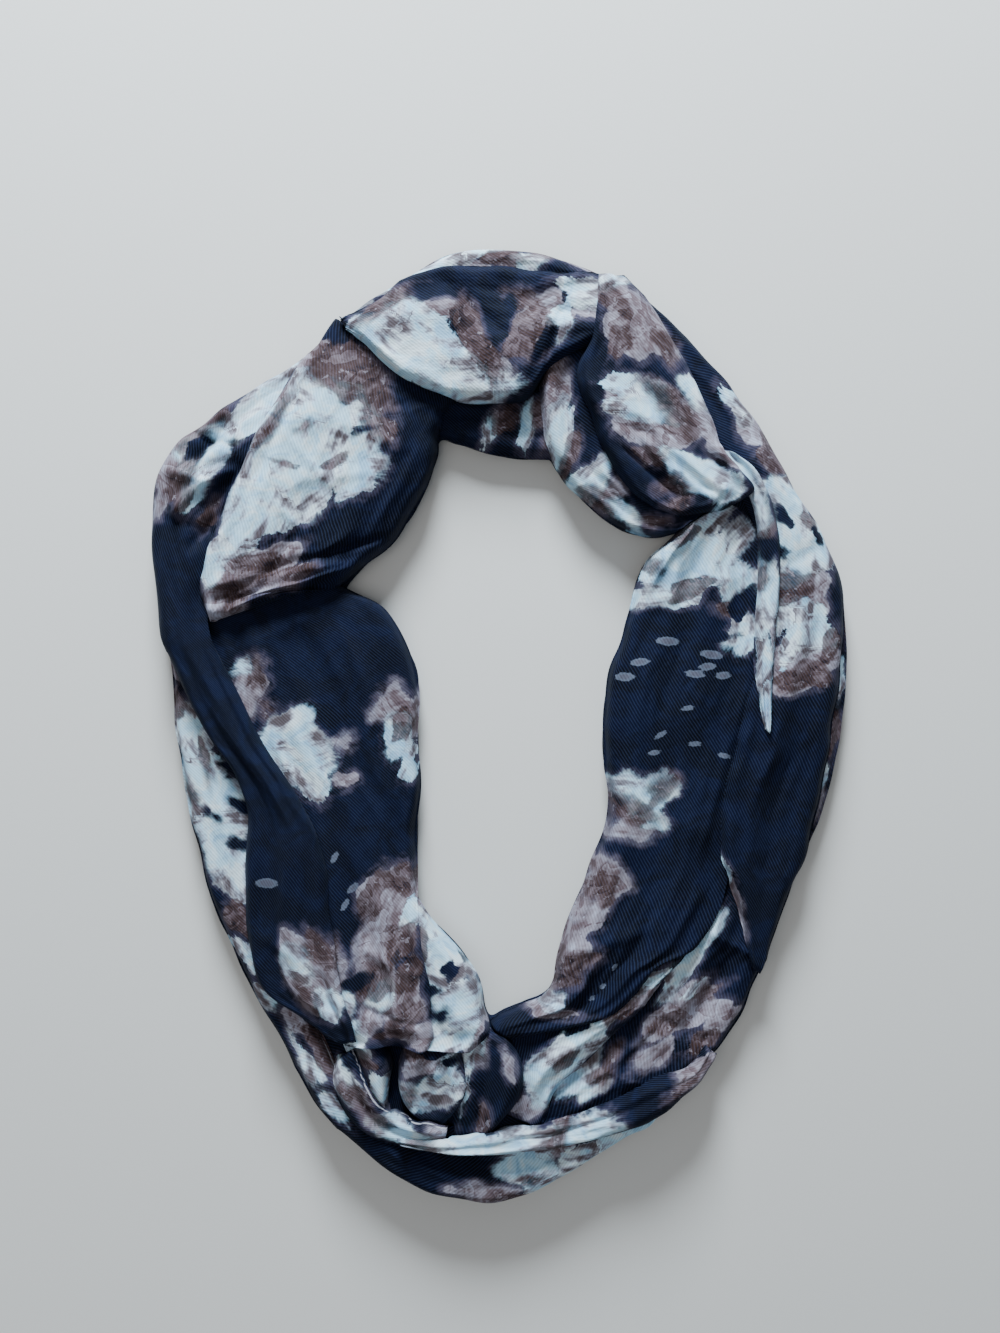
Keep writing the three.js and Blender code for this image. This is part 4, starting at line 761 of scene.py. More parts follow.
    "top_flap": [
        ["mauve", -62, 268, 30, 16, 10], ["pale", -57, 254, 35, 26, -26], ["pale", -32, 234, 28, 16, -10],
        ["pale", -22, 224, 30, 9, 6], ["brown", -19, 262, 24, 9, -70], ["brown", -9, 243, 16, 8, -70],
        ["brown", -76, 281, 26, 6, 32], ["pale", -99, 263, 15, 7, 30], ["navy", -48, 290, 16, 7, 10],
        ["mauve", -2, 230, 12, 8, 70], ["mauve", 30, 276, 20, 15, 20], ["brown", 20, 262, 20, 15, 60],
        ["brown", 15, 284, 13, 8, 0], ["navy", 2, 272, 20, 8, 70], ["navy", 30, 256, 12, 5, 60],
        ["pale", 58, 288, 22, 11, -14], ["pale", 40, 270, 12, 8, 70], ["mauve", 62, 276, 14, 6, -10],
    ],
    "upper_right_big_fold": [
        ["mauve", 92, 266, 30, 19, -50], ["brown", 76, 281, 14, 9, -40], ["brown", 110, 252, 15, 7, -60],
        ["brown", 80, 254, 12, 7, 70], ["mauve", 102, 206, 35, 21, -20], ["pale", 94, 213, 23, 14, -20],
        ["pale", 80, 226, 12, 8, 0], ["brown", 108, 218, 14, 7, -30], ["brown", 119, 200, 13, 11, -60],
        ["pale", 129, 222, 13, 7, -60], ["brown", 100, 178, 14, 7, -30], ["pale", 132, 166, 28, 12, -22],
        ["mauve", 149, 185, 15, 10, -50], ["brown", 113, 160, 11, 7, 0], ["pale", 150, 155, 14, 9, 60],
        ["brown", 121, 148, 9, 5, 20], ["pale", 70, 294, 14, 6, 10],
    ],
}


# Values at the shares s on smooth curves through the rows of a table.
def rows_at(rows, shares, closed=False):
    table = np.array(rows, float)
    count = len(table)
    if closed:
        place = np.mod(shares, 1) * count
        pick = lambda k: table[np.mod(k, count)]
    else:
        place = np.minimum(shares * (count - 1), count - 1 - 1e-9)
        pick = lambda k: table[np.clip(k, 0, count - 1)]
    i = np.floor(place).astype(int)
    t = (place - i)[:, None]
    p0, p1, p2, p3 = pick(i - 1), pick(i), pick(i + 1), pick(i + 2)
    c = 2 * p0 - 5 * p1 + 4 * p2 - p3
    d = 3 * p1 - p0 - 3 * p2 + p3
    return 0.5 * (2 * p1 + t * (p2 - p0 + t * (c + t * d)))


def smooth(low, high, x):
    t = np.clip((x - low) / (high - low), 0, 1)
    return t * t * (3 - 2 * t)


# 1 where s lies in the range, falling to 0 just outside it.
def in_range(span, s):
    soft = 0.04
    if span is None:
        return np.zeros_like(s)
    rise = np.ones_like(s) if span[0] <= 0 else smooth(span[0] - soft, span[0] + soft, s)
    fall = np.ones_like(s) if span[1] >= 1 else 1 - smooth(span[1] - soft, span[1] + soft, s)
    return rise * fall


# How far a rolled edge has dropped, as a share, at a distance in from the edge.
def roll_share(distance, width):
    x = np.clip(1 - distance / width, 0, 1)
    return 1 - np.sqrt(np.maximum(0, 1 - x * x))


# Shares with close steps in a rolled edge of the given share at each end.
def edge_shares(count, start, end):
    close = np.array([0, 0.01, 0.04, 0.1, 0.2, 0.34, 0.52, 0.74])
    first = close * start if start > 0 else np.array([])
    last = 1 - close[::-1] * end if end > 0 else np.array([])
    return np.concatenate([first, np.linspace(start, 1 - end, count), last])


# Small uneven wrinkles that run with the length of a stretch.
def wrinkles(along, across, edge, seed):
    rng = np.random.default_rng(seed)
    total = np.zeros(np.broadcast(along, across).shape)
    for _ in range(WRINKLE_WAVES):
        wave = rng.uniform(*WRINKLE_SPACING)
        run = rng.uniform(*WRINKLE_RUN)
        turn = rng.uniform(-WRINKLE_TURN, WRINKLE_TURN)
        phase = rng.uniform(0, 2 * math.pi, 3)
        bend = WRINKLE_BEND * np.sin(2 * math.pi * along / run + phase[0])
        line = (across + bend + turn * along) * 2 * math.pi / wave + phase[1]
        patch = 0.5 + 0.5 * np.sin(2 * math.pi * along / (WRINKLE_PATCH * run) + phase[2])
        total += patch * (1 - 2 * np.abs(np.sin(0.5 * line)) ** WRINKLE_POWER)
    return WRINKLE_HEIGHT * total / math.sqrt(WRINKLE_WAVES) * smooth(0, WRINKLE_CLEAR, edge)


# Slow uneven waves along an edge, about 1 high.
def edge_waves(along, seed):
    rng = np.random.default_rng(EDGE_SEED + seed)
    total = np.zeros_like(along)
    for wave in EDGE_WAVES:
        total += np.sin(2 * math.pi * along / (wave * rng.uniform(0.8, 1.2)) + rng.uniform(0, 6))
    return total / 2


# Height of one crease along s and across t, which is size wide. It fades just past both ends.
def crease(row, s, t, size):
    s0, t0, s1, t1, height, half = row
    along = (s - s0) / (s1 - s0)
    fade = smooth(-0.12, 0.2, along) * (1 - smooth(0.8, 1.12, along))
    centre = t0 + (t1 - t0) * np.clip(along, 0, 1)
    return height * fade * np.exp(-np.abs((t - centre) * size / half) ** CREASE_POWER)


# Top surface of a stretch before it is laid down.
def shape_top(stretch, seed):
    rows = np.array(stretch["rows"], float)
    middles = (rows[:, 0:2] + rows[:, 2:4]) / 2
    length = float(np.hypot(*np.diff(middles, axis=0).T).sum())
    width = float(np.hypot(*(rows[:, 2:4] - rows[:, 0:2]).T).mean())
    start_roll = stretch.get("start_roll", 0)
    end_roll = stretch.get("end_roll", 0)
    s = edge_shares(round(length / STEP_ALONG) + 1, start_roll / length, end_roll / length)
    roll = min(ROLL_STEPS_SHARE, ROLL_WIDTH / width)
    t = edge_shares(round(width / STEP_ACROSS) + 1, roll, roll)
    ax, ay, bx, by, za, zb = (c[:, None] for c in rows_at(rows, s).T)
    s = s[:, None]
    t = t[None, :]
    across = np.hypot(bx - ax, by - ay)
    steady = np.clip(across / STEADY_WIDTH, 0.25, 1) * EDGE_WAVE / across
    wave_a = edge_waves(s * length, 2 * seed) * steady
    wave_b = edge_waves(s * length, 2 * seed + 1) * steady
    ax, bx = ax + wave_a * (bx - ax), bx + wave_b * (bx - ax)
    ay, by = ay + wave_a * (by - ay), by + wave_b * (by - ay)
    uneven = ROLL_LEAST + ROLL_UNEVEN * edge_waves(s * length, seed + ROLL_SEED)
    roll_width = np.minimum(ROLL_WIDTH, ROLL_WIDTH_SHARE * across) * uneven
    z = za + (zb - za) * t + stretch["crown"] * 4 * t * (1 - t)
    creases = [row[:4] + [CREASE_GAIN * row[4], row[5]] for row in CREASES.get(stretch["name"], [])]
    for row in stretch.get("folds", []) + creases:
        z = z + crease(row, s, t, across)
    for row in CROSS_CREASES.get(stretch["name"], []):
        z = z + crease(row, t, s, length)
    edge = np.minimum(t, 1 - t) * across
    z = z + wrinkles(s * length, t * across, edge, seed)
    z = np.where(z > TALL, TALL + (z - TALL) * TALL_SHARE, z)
    z = z - ROLL_DROP * in_range(stretch.get("free_a"), s) * roll_share(t * across, roll_width)
    z = z - ROLL_DROP * in_range(stretch.get("free_b"), s) * roll_share((1 - t) * across, roll_width)
    narrow = np.clip(across / NARROW_END, 0.2, 1)
    if start_roll:
        z = z - ROLL_DROP * roll_share(s * length, start_roll) * narrow
    if end_roll:
        z = z - ROLL_DROP * roll_share((1 - s) * length, end_roll) * narrow
    if "end_slope" in stretch:
        z = z - END_DROP * (1 - smooth(0, stretch["end_slope"], (1 - s) * length))
    x = ax + (bx - ax) * t
    y = ay + (by - ay) * t
    return np.stack([x, y, np.maximum(z, EDGE_HEIGHT)], axis=-1)


# A grid of points with extra ones between them, for reading and writing height maps.
def denser(grid, times):
    def between(g, axis):
        steps = np.arange(times) / times
        low = np.take(g, range(g.shape[axis] - 1), axis)
        high = np.take(g, range(1, g.shape[axis]), axis)
        parts = [low + (high - low) * k for k in steps]
        joined = np.stack(parts, axis=axis + 1)
        shape = list(g.shape)
        shape[axis] = -1
        joined = joined.reshape(shape)
        return np.concatenate([joined, np.take(g, [g.shape[axis] - 1], axis)], axis)
    return between(between(grid, 0), 1)


# Row and column of the map's cell under each point.
def cell_of(points):
    i = np.floor((points[..., 0] + MAP_HALF_X) / CELL).astype(int)
    j = np.floor((points[..., 1] + MAP_HALF_Y) / CELL).astype(int)
    return j, i


# A map in which every cell takes the highest value of the cells round it.
def widened(heights):
    out = heights.copy()
    for dj in (-1, 0, 1):
        for di in (-1, 0, 1):
            out = np.maximum(out, np.roll(heights, (dj, di), (0, 1)))
    return out


# Lifts a stretch until it clears everything laid before it, with a soft slope to each side.
def lay(grid, tops):
    below = widened(tops)[cell_of(grid)]
    need = np.maximum(below + CLEARANCE + CLOTH - grid[..., 2], 0)
    lift = need
    for _ in range(DRAPE_PASSES):
        padded = np.pad(lift, 1, mode="edge")
        mean = (padded[:-2, 1:-1] + padded[2:, 1:-1] + padded[1:-1, :-2] + padded[1:-1, 2:]) / 4
        lift = np.maximum(mean, need)
    grid[..., 2] += lift


# Notes the top and the underside of a stretch in the two height maps.
def record(grid, tops, unders):
    fine = denser(grid, MAP_FINENESS)
    cells = cell_of(fine)
    np.maximum.at(tops, cells, fine[..., 2])
    np.minimum.at(unders, cells, fine[..., 2] - CLOTH)


# The ring of hidden layers: rims in rounded layers, its top just under the stretches.
def ring_section_points(unders):
    shares = np.arange(RING_STATIONS) / RING_STATIONS
    edge = rows_at(RING, shares, closed=True)
    rim = rows_at(RIM, np.linspace(0, 1, RIM_POINTS))
    outer = edge[:, None, 0:2]
    inner = edge[:, None, 2:4]
    width = np.hypot(*(edge[:, 2:4] - edge[:, 0:2]).T)[:, None]
    turn = 2 * math.pi * shares[:, None]
    sway = sum(size * np.sin(waves * turn + rim[None, :, 1] * rise) for size, waves, rise in RIM_SWAY)
    inset = rim[None, :, 0] + RIM_GAP + sway
    margin = RIM[-1][0] + RIM_GAP
    core = margin + (width - 2 * margin) * np.arange(1, CORE_ACROSS) / CORE_ACROSS
    insets = np.concatenate([inset, core, width - inset[:, ::-1]], axis=1)
    plan = outer + (inner - outer) * (insets / width)[..., None]
    heights = np.concatenate([rim[:, 1], np.full(CORE_ACROSS - 1, NOTHING), rim[::-1, 1]])
    points = np.concatenate([plan, np.broadcast_to(heights[:, None], plan.shape[:2] + (1,))], axis=2)
    lowest = -widened(-unders)
    room = lowest[cell_of(points)] - CLEARANCE
    top = slice(RIM_POINTS, RIM_POINTS + CORE_ACROSS - 1)
    room = np.where(room > -NOTHING / 10, EDGE_HEIGHT, room)
    for _ in range(RIM_PASSES):
        near = np.stack([np.roll(room, k, 0) for k in (-1, 0, 1)]).min(0)
        room = np.minimum(room, (near + room) / 2)
    points[:, top, 2] = np.clip(room[:, top], LOWEST_FILL, None)
    return points


# How far inside each colour's nearest bloom a point lies, and the frame of that bloom's brush.
def print_fields(name, points):
    x, y = points[:, 0], points[:, 1]
    fields = {kind: np.full(len(points), FAR_OUTSIDE) for kind in KINDS}
    fringe = np.zeros((len(points), 3))
    stroke = np.stack([x / STROKE_RUN, y / STROKE_WIDTH, np.zeros(len(points))], axis=1)
    nearest = np.full(len(points), NOTHING)
    for number, (kind, cx, cy, half_long, half_wide, degrees) in enumerate(PRINTS.get(name, [])):
        turn = math.radians(degrees)
        dx, dy = x - cx, y - cy
        u = (dx * math.cos(turn) + dy * math.sin(turn)) / half_long
        v = (dy * math.cos(turn) - dx * math.sin(turn)) / half_wide
        distance = np.hypot(u, v) + 1e-6
        size = math.sqrt(half_long * half_wide)
        angle = np.arctan2(v, u)
        lobes = sum(depth * np.sin(count * angle + number * step) for count, depth, step in PETALS)
        if kind == "dab":
            lobes = 0
        inside = (1 + lobes - distance) * size
        fields[kind] = np.maximum(fields[kind], inside)
        if kind != "dab":
            better = inside > nearest
            nearest = np.where(better, inside, nearest)
            radial = np.stack([u / distance * size / FRINGE_WIDTH,
                               v / distance * size / FRINGE_WIDTH,
                               distance * size / FRINGE_RUN + number * 3.1], axis=1)
            bend = BEND * np.sin(u * half_long / BEND_RUN + number)
            straight = np.stack([u * half_long / STROKE_RUN,
                                 (v * half_wide + bend) / STROKE_WIDTH,
                                 np.full(len(points), number * 5.3)], axis=1)
            fringe[better] = radial[better]
            stroke[better] = straight[better]
    return fields, {"fringe": fringe, "stroke": stroke}


# Distances along and across a grid, measured on the cloth itself.
def cloth_distances(grid):
    along = np.linalg.norm(np.diff(grid, axis=0), axis=-1)
    across = np.linalg.norm(np.diff(grid, axis=1), axis=-1)
    v = np.zeros(grid.shape[:2])
    u = np.zeros(grid.shape[:2])
    v[1:] = np.cumsum(along.mean(axis=1))[:, None]
    u[:, 1:] = np.cumsum(across, axis=1)
    return u - u.mean(axis=1)[:, None], v


# Faces of a grid of points, closed round its rows where that is asked for.
def grid_faces(rows, columns, closed=False):
    i, j = np.meshgrid(np.arange(rows if closed else rows - 1), np.arange(columns - 1), indexing="ij")
    i, j = i.ravel(), j.ravel()
    a = i * columns + j
    b = ((i + 1) % rows) * columns + j
    return np.stack([a, b, b + 1, a + 1], axis=1)


# A stitched line close to one edge of a stretch, where HEMS gives it one.
def hem_field(name, grid):
    field = np.full(grid.shape[:2], FAR_OUTSIDE)
    if name in HEMS:
        side, start, end = HEMS[name]
        steps = np.linalg.norm(np.diff(grid, axis=1), axis=-1)
        inset = np.concatenate([np.zeros((len(grid), 1)), np.cumsum(steps, axis=1)], axis=1)
        if side == "b":
            inset = inset[:, -1:] - inset
        s = np.linspace(0, 1, len(grid))[:, None]
        shown = in_range([start, end], s) > 0.5
        field = np.where(shown, HEM_WIDTH / 2 - np.abs(inset - HEM_INSET), field)
    return field.ravel()


# Stores the print of a piece as values at its points.
def add_attributes(mesh, name, points, hem):
    fields, frames = print_fields(name, points)
    if hem is not None:
        fields["hem"] = hem
    for kind in KINDS:
        layer = mesh.attributes.new("print_" + kind, "FLOAT", "POINT")
        layer.data.foreach_set("value", fields[kind].astype(np.float32))
    for key, vectors in frames.items():
        layer = mesh.attributes.new(key, "FLOAT_VECTOR", "POINT")
        layer.data.foreach_set("vector", vectors.astype(np.float32).ravel())


# A piece of printed cloth from points in millimetres.
def new_piece(name, points, faces, uv, print_name, hem=None):
    mesh = bpy.data.meshes.new(name)
    mesh.from_pydata((points * METRE).tolist(), [], faces.tolist())
    mesh.polygons.foreach_set("use_smooth", np.ones(len(faces), dtype=bool))
    layer = mesh.uv_layers.new(name="cloth")
    corners = np.empty(len(mesh.loops), dtype=np.int32)
    mesh.loops.foreach_get("vertex_index", corners)
    layer.data.foreach_set("uv", (uv[corners] * METRE).astype(np.float32).ravel())
    add_attributes(mesh, print_name, points, hem)
    mesh.update()
    obj = bpy.data.objects.new(name, mesh)
    bpy.context.scene.collection.objects.link(obj)
    obj.data.materials.append(cloth)
    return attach(obj, "root")


# A named colour in linear values.
def tone(name):
    values = []
    for c in TONES[name]:
        c = c / 255
        values.append(c / 12.92 if c <= 0.04045 else ((c + 0.055) / 1.055) ** 2.4)
    return (*values, 1)


# Short ways to add and link shader nodes.
class Shader:
    def __init__(self, material):
        material.use_nodes = True
        self.nodes = material.node_tree.nodes
        self.links = material.node_tree.links
        self.bsdf = self.nodes["Principled BSDF"]

    def set(self, socket, value):
        if isinstance(value, bpy.types.NodeSocket):
            self.links.new(value, socket)
        else:
            socket.default_value = value

    def math(self, operation, a, b=0.0, c=0.0):
        node = self.nodes.new("ShaderNodeMath")
        node.operation = operation
        for socket, value in zip(node.inputs, (a, b, c)):
            self.set(socket, value)
        return node.outputs[0]

    def times(self, *values):
        total = values[0]
        for value in values[1:]:
            total = self.math("MULTIPLY", total, value)
        return total

    def plus(self, *values):
        total = values[0]
        for value in values[1:]:
            total = self.math("ADD", total, value)
        return total

    def step(self, value, low, high):
        node = self.nodes.new("ShaderNodeMapRange")
        node.interpolation_type = "SMOOTHSTEP"
        self.set(node.inputs["Value"], value)
        node.inputs["From Min"].default_value = low
        node.inputs["From Max"].default_value = high
        return node.outputs["Result"]

    def outside(self, value, low, high):
        return self.math("SUBTRACT", 1.0, self.step(value, low, high))

    def bump(self, height, strength, depth, normal=None):
        node = self.nodes.new("ShaderNodeBump")
        node.inputs["Strength"].default_value = strength
        node.inputs["Distance"].default_value = depth
        self.set(node.inputs["Height"], height)
        if normal is not None:
            self.set(node.inputs["Normal"], normal)
        return node.outputs[0]

    # 1 inside a bloom, with an edge that is crisp in some places and soft in others.
    def bloom_edge(self, field, crisp, soft, softness):
        hard = self.step(field, -crisp, crisp)
        faded = self.step(field, -soft, soft)
        return self.math("MULTIPLY_ADD", self.math("SUBTRACT", faded, hard), softness, hard)

    def mix(self, factor, a, b, blend="MIX"):
        node = self.nodes.new("ShaderNodeMix")
        node.data_type = "RGBA"
        node.blend_type = blend
        colour_inputs = [socket for socket in node.inputs if socket.type == "RGBA"]
        self.set(node.inputs["Factor"], factor)
        self.set(colour_inputs[0], a)
        self.set(colour_inputs[1], b)
        return [socket for socket in node.outputs if socket.type == "RGBA"][0]

    def ramp(self, value, stops):
        node = self.nodes.new("ShaderNodeValToRGB")
        node.color_ramp.interpolation = "EASE"
        elements = node.color_ramp.elements
        while len(elements) < len(stops):
            elements.new(0.5)
        for element, (position, name) in zip(elements, stops):
            element.position = position
            element.color = tone(name)
        self.set(node.inputs["Fac"], value)
        return node.outputs["Color"]

    def attribute(self, name, output):
        node = self.nodes.new("ShaderNodeAttribute")
        node.attribute_name = name
        return node.outputs[output]

    def noise(self, vector, scale, detail, roughness=0.5, distortion=0.0):
        node = self.nodes.new("ShaderNodeTexNoise")
        self.set(node.inputs["Vector"], vector)
        node.inputs["Scale"].default_value = scale
        node.inputs["Detail"].default_value = detail
        node.inputs["Roughness"].default_value = roughness
        node.inputs["Distortion"].default_value = distortion
        return node.outputs["Fac"]

    def mapped(self, vector, scale, turn=0.0):
        node = self.nodes.new("ShaderNodeMapping")
        self.set(node.inputs["Vector"], vector)
        node.inputs["Scale"].default_value = scale
        node.inputs["Rotation"].default_value = (0, 0, math.radians(turn))
        return node.outputs[0]

    # Noise about zero, in the given number of millimetres.
    def wobble(self, vector, scale, amount, detail):
        centred = self.math("SUBTRACT", self.noise(vector, scale, detail), 0.5)
        return self.math("MULTIPLY", centred, 2 * amount)


# Colour of the print: navy ground under soft brushed blooms, with dabs and a hem line on top.
def print_colour(sh, place):
    fields = {kind: sh.attribute("print_" + kind, "Fac") for kind in KINDS}
    brush = sh.attribute("stroke", "Vector")
    fibres = sh.wobble(place, *WOBBLES["fibres"])
    edge = sh.plus(sh.wobble(place, *WOBBLES["petals"]), sh.wobble(place, *WOBBLES["curls"]), fibres)
    hairs = sh.wobble(sh.attribute("fringe", "Vector"), *WOBBLES["hairs"])
    wash = sh.noise(place, *NOISES["wash"])
    speck = sh.noise(place, *NOISES["speck"])
    softness = sh.step(sh.noise(place, *NOISES["soft_patches"]), *STEPS["soft_patches"])
    streak = sh.times(sh.noise(brush, *NOISES["streak"]), SHARES["streak"])
    layers = sh.math("FRACT", sh.times(sh.noise(place, *NOISES["layers"]), LAYERS))
    tint = sh.plus(sh.times(wash, SHARES["wash"]), streak, sh.times(layers, SHARES["layers"]))
    blots = sh.times(sh.noise(place, *NOISES["blots"]), SHARES["blots"])
    marks = sh.plus(blots, sh.times(sh.noise(brush, *NOISES["strokes"]), SHARES["strokes"]))

    navy = sh.mix(sh.step(wash, *STEPS["worn_navy"]), tone("navy_deep"), tone("navy_worn"))
    pale_field = sh.plus(fields["pale"], sh.plus(edge, hairs))
    mauve_field = sh.plus(fields["mauve"], edge)
    brown_field = sh.plus(fields["brown"], edge)
    navy_field = sh.plus(fields["navy"], edge)
    all_blooms = sh.math("MAXIMUM", sh.math("MAXIMUM", pale_field, mauve_field), brown_field)
    halo_wash = sh.plus(wash, sh.times(speck, SHARES["halo_speck"]))
    halo = sh.times(sh.step(all_blooms, *STEPS["halo"]), sh.step(halo_wash, *STEPS["halo_wash"]))
    colour = sh.mix(sh.times(halo, SHARES["halo"]), navy, tone("halo"))

    mauve = sh.bloom_edge(mauve_field, *BLOOM_EDGES["mauve"], softness)
    colour = sh.mix(mauve, colour, sh.ramp(tint, RAMPS["mauve"]))
    rim = sh.times(sh.step(mauve_field, *STEPS["mauve_rim"]), sh.outside(mauve_field, *STEPS["mauve_heart"]))
    colour = sh.mix(sh.times(rim, SHARES["mauve_rim"]), colour, tone("lilac"))

    pale = sh.bloom_edge(pale_field, *BLOOM_EDGES["pale"], softness)
    colour = sh.mix(pale, colour, sh.ramp(wash, RAMPS["pale"]))
    near_edge = sh.outside(pale_field, *STEPS["pale_heart"])
    worn = sh.plus(marks, sh.times(near_edge, SHARES["pale_edge"]))
    for low, high, share, name in WORN:
        colour = sh.mix(sh.times(sh.step(worn, low, high), pale, share), colour, tone(name))

    brown = sh.times(sh.bloom_edge(brown_field, *BLOOM_EDGES["brown"], softness), SHARES["brown"])
    colour = sh.mix(brown, colour, sh.ramp(tint, RAMPS["brown"]))
    chips = sh.times(sh.step(speck, *STEPS["chips"]), sh.step(brown_field, *STEPS["chips_brown"]))
    colour = sh.mix(sh.times(chips, SHARES["chips"]), colour, tone("mauve_light"))
    colour = sh.mix(sh.bloom_edge(navy_field, *BLOOM_EDGES["navy"], softness), colour, navy)
    dab = sh.step(sh.plus(fields["dab"], fibres), *STEPS["dab"])
    colour = sh.mix(sh.times(dab, SHARES["dab"]), colour, tone("dab"))
    heart = sh.step(fields["dab"], *STEPS["dab_heart"])
    colour = sh.mix(sh.times(heart, SHARES["dab_heart"]), colour, tone("brown_light"))
    hem = sh.step(fields["hem"], *STEPS["hem"])
    return sh.mix(sh.times(hem, SHARES["hem"]), colour, tone("hem"))


# Diagonal twill with uneven threads, as a height from 0 to 1.
def weave(sh, uv):
    wale = sh.nodes.new("ShaderNodeTexWave")
    wale.wave_type = "BANDS"
    wale.bands_direction = "X"
    sh.set(wale.inputs["Vector"], sh.mapped(uv, (1, 1, 1), TWILL_TURN))
    wale.inputs["Scale"].default_value = WALE_SCALE
    wale.inputs["Distortion"].default_value = 1.4
    wale.inputs["Detail"].default_value = 2.0
    wale.inputs["Detail Scale"].default_value = 0.6
    slub = sh.noise(sh.mapped(uv, SLUB_SCALE), *NOISES["slub"])
    return sh.plus(sh.times(wale.outputs["Fac"], SHARES["wale"]), sh.times(slub, SHARES["slub"]))


# Light printed twill, with painted shade where its threads lie low and a painted sheen where they stand
# high.
def cloth_material():
    material = bpy.data.materials.new("printed_twill")
    sh = Shader(material)
    place = sh.nodes.new("ShaderNodeTexCoord").outputs["Object"]
    uv_map = sh.nodes.new("ShaderNodeUVMap")
    uv_map.uv_map = "cloth"
    uv = uv_map.outputs[0]
    thread = weave(sh, uv)
    # Painted shade: the colour is darkened where the twill's threads lie low.
    shade = sh.mix(thread, tone("weave_painted_shade"), tone("weave_high"))
    colour = sh.mix(SHARES["weave"], print_colour(sh, place), shade, "MULTIPLY")
    # Painted sheen: a light blue is mixed in where the threads stand high.
    painted_sheen = sh.times(sh.step(thread, *STEPS["painted_sheen"]), SHARES["painted_sheen"])
    sh.set(sh.bsdf.inputs["Base Color"], sh.mix(painted_sheen, colour, tone("painted_sheen")))

    fine = sh.bump(thread, 0.6, THREAD_DEPTH)
    ripple = sh.noise(sh.mapped(uv, RIPPLE_SCALE), *NOISES["ripple"])
    sh.set(sh.bsdf.inputs["Normal"], sh.bump(ripple, 0.7, RIPPLE_DEPTH, fine))
    roughness = sh.nodes.new("ShaderNodeMapRange")
    sh.set(roughness.inputs["Value"], thread)
    roughness.inputs["To Min"].default_value = 0.66
    roughness.inputs["To Max"].default_value = 0.86
    sh.set(sh.bsdf.inputs["Roughness"], roughness.outputs["Result"])
    sh.bsdf.inputs["Specular IOR Level"].default_value = 0.08
    sh.bsdf.inputs["Sheen Weight"].default_value = 0.025
    sh.bsdf.inputs["Sheen Roughness"].default_value = 0.5
    sh.bsdf.inputs["Sheen Tint"].default_value = (0.70, 0.82, 1, 1)
    return material


# Gives a sheet the cloth's thickness, under its top side.
def make_thin(obj):
    shell = obj.modifiers.new("cloth_thickness", "SOLIDIFY")
    shell.thickness = CLOTH * METRE
    shell.offset = -1


# One stretch of the scarf as a thin sheet on the place that its solid holds.
def add_stretch(number, stretch, tops, unders):
    name = stretch["name"]
    grid = shape_top(stretch, SEED + number)
    lay(grid, tops)
    record(grid, tops, unders)
    rows, columns = grid.shape[:2]
    points = grid.reshape(-1, 3)
    faces = grid_faces(rows, columns)
    middle = faces[len(faces) // 2]
    up = np.cross(points[middle[1]] - points[middle[0]], points[middle[3]] - points[middle[0]])[2]
    if up < 0:
        faces = faces[:, ::-1]
    u, v = cloth_distances(grid)
    uv = np.stack([u.ravel(), v.ravel()], axis=1)
    obj = new_piece(name + "_cloth", points, faces, uv, name, hem_field(name, grid))
    make_thin(obj)
    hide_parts(name)
    return obj


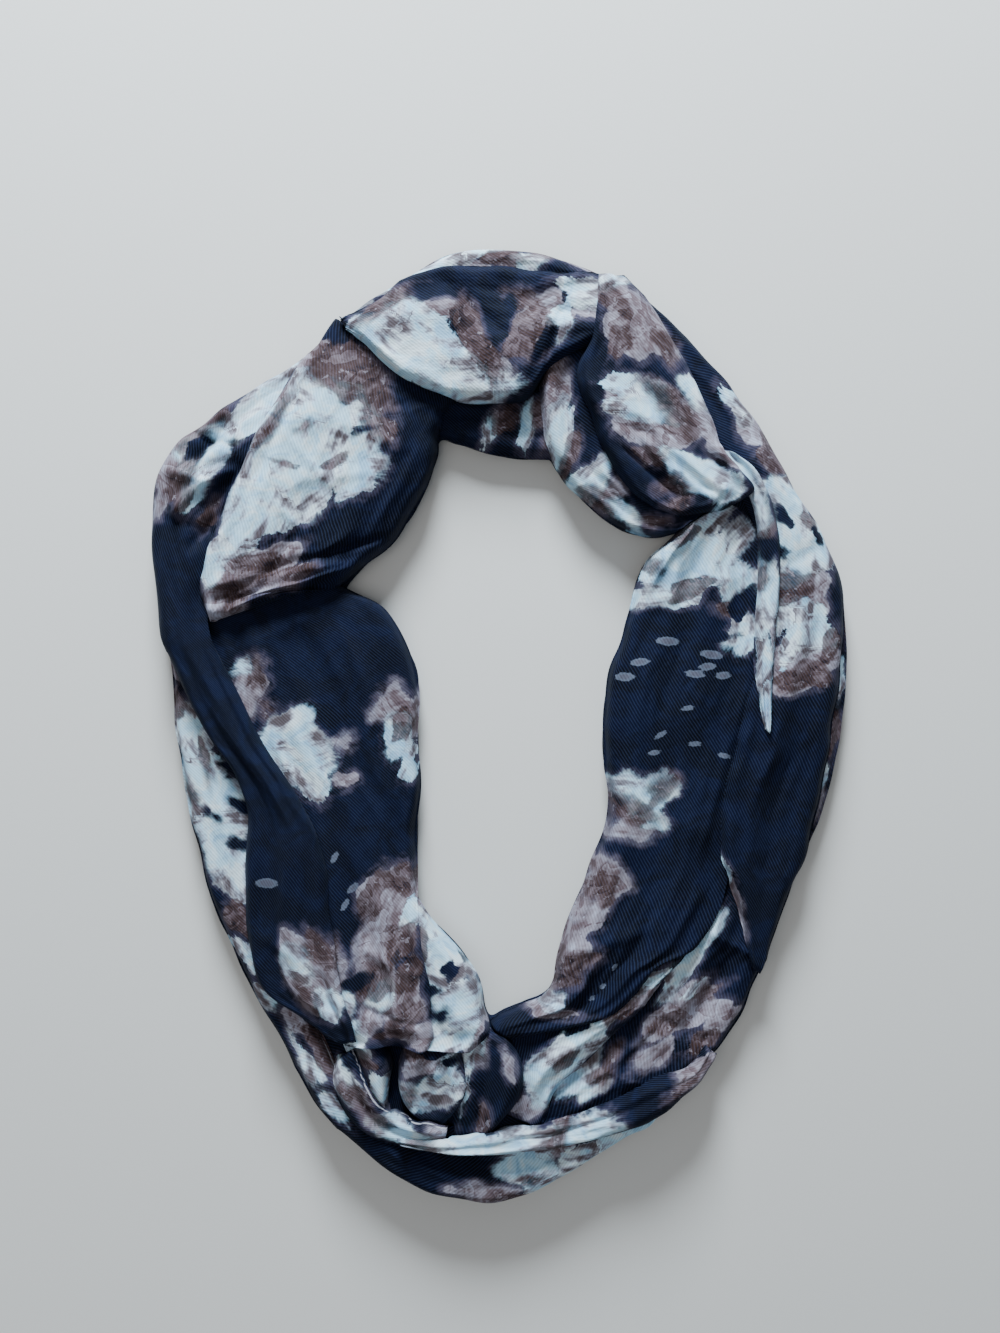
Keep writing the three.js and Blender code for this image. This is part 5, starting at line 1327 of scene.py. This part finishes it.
def add_hidden_layers(unders):
    grid = ring_section_points(unders)
    stations, columns = grid.shape[:2]
    points = grid.reshape(-1, 3)
    faces = grid_faces(stations, columns, closed=True)
    i = np.arange(stations)
    under = np.stack([i * columns + columns - 1, ((i + 1) % stations) * columns + columns - 1,
                      ((i + 1) % stations) * columns, i * columns], axis=1)
    faces = np.concatenate([faces, under])
    quads = points[faces]
    volume = (quads[:, 0] * np.cross(quads[:, 1], quads[:, 2])).sum()
    volume += (quads[:, 0] * np.cross(quads[:, 2], quads[:, 3])).sum()
    if volume < 0:
        faces = faces[:, ::-1]
    u, v = cloth_distances(grid)
    uv = np.stack([u.ravel(), v.ravel()], axis=1)
    obj = new_piece("hidden_layers_cloth", points, faces, uv, "hidden_layers")
    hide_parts("hidden_layers")
    return obj


# Plain pale floor.
def add_floor():
    half = FLOOR_HALF
    corners = [(-half, -half, 0), (half, -half, 0), (half, half, 0), (-half, half, 0)]
    mesh = bpy.data.meshes.new("floor")
    mesh.from_pydata(corners, [], [(0, 1, 2, 3)])
    floor = bpy.data.objects.new("floor", mesh)
    bpy.context.scene.collection.objects.link(floor)
    material = bpy.data.materials.new("floor")
    material.use_nodes = True
    bsdf = material.node_tree.nodes["Principled BSDF"]
    bsdf.inputs["Base Color"].default_value = tone("floor")
    bsdf.inputs["Roughness"].default_value = FLOOR_ROUGHNESS
    mesh.materials.append(material)


# A round lamp that points at the middle of the scarf.
def add_light(name, place, size, watts, colour):
    data = bpy.data.lights.new(name, "AREA")
    data.shape = "DISK"
    data.size = size
    data.energy = watts
    data.color = colour
    lamp = bpy.data.objects.new(name, data)
    lamp.location = place
    lamp.rotation_euler = (-Vector(place)).to_track_quat("-Z", "Y").to_euler()
    bpy.context.scene.collection.objects.link(lamp)


def add_studio():
    for row in LIGHTS:
        add_light(*row)
    world = bpy.data.worlds.new("studio")
    world.use_nodes = True
    background = world.node_tree.nodes["Background"]
    background.inputs["Color"].default_value = SKY
    background.inputs["Strength"].default_value = SKY_STRENGTH
    bpy.context.scene.world = world


def add_camera():
    data = bpy.data.cameras.new("camera")
    data.sensor_width = CAMERA_SENSOR
    data.lens = CAMERA_LENS
    camera = bpy.data.objects.new("camera", data)
    camera.location = (0, CAMERA_Y, CAMERA_HEIGHT)
    bpy.context.scene.collection.objects.link(camera)
    bpy.context.scene.camera = camera


cloth = cloth_material()
map_shape = (math.ceil(2 * MAP_HALF_Y / CELL), math.ceil(2 * MAP_HALF_X / CELL))
tops = np.full(map_shape, NOTHING)
unders = np.full(map_shape, -NOTHING)
for number, stretch in enumerate(STRETCHES):
    add_stretch(number, stretch, tops, unders)
add_hidden_layers(unders)
add_floor()
add_studio()
add_camera()
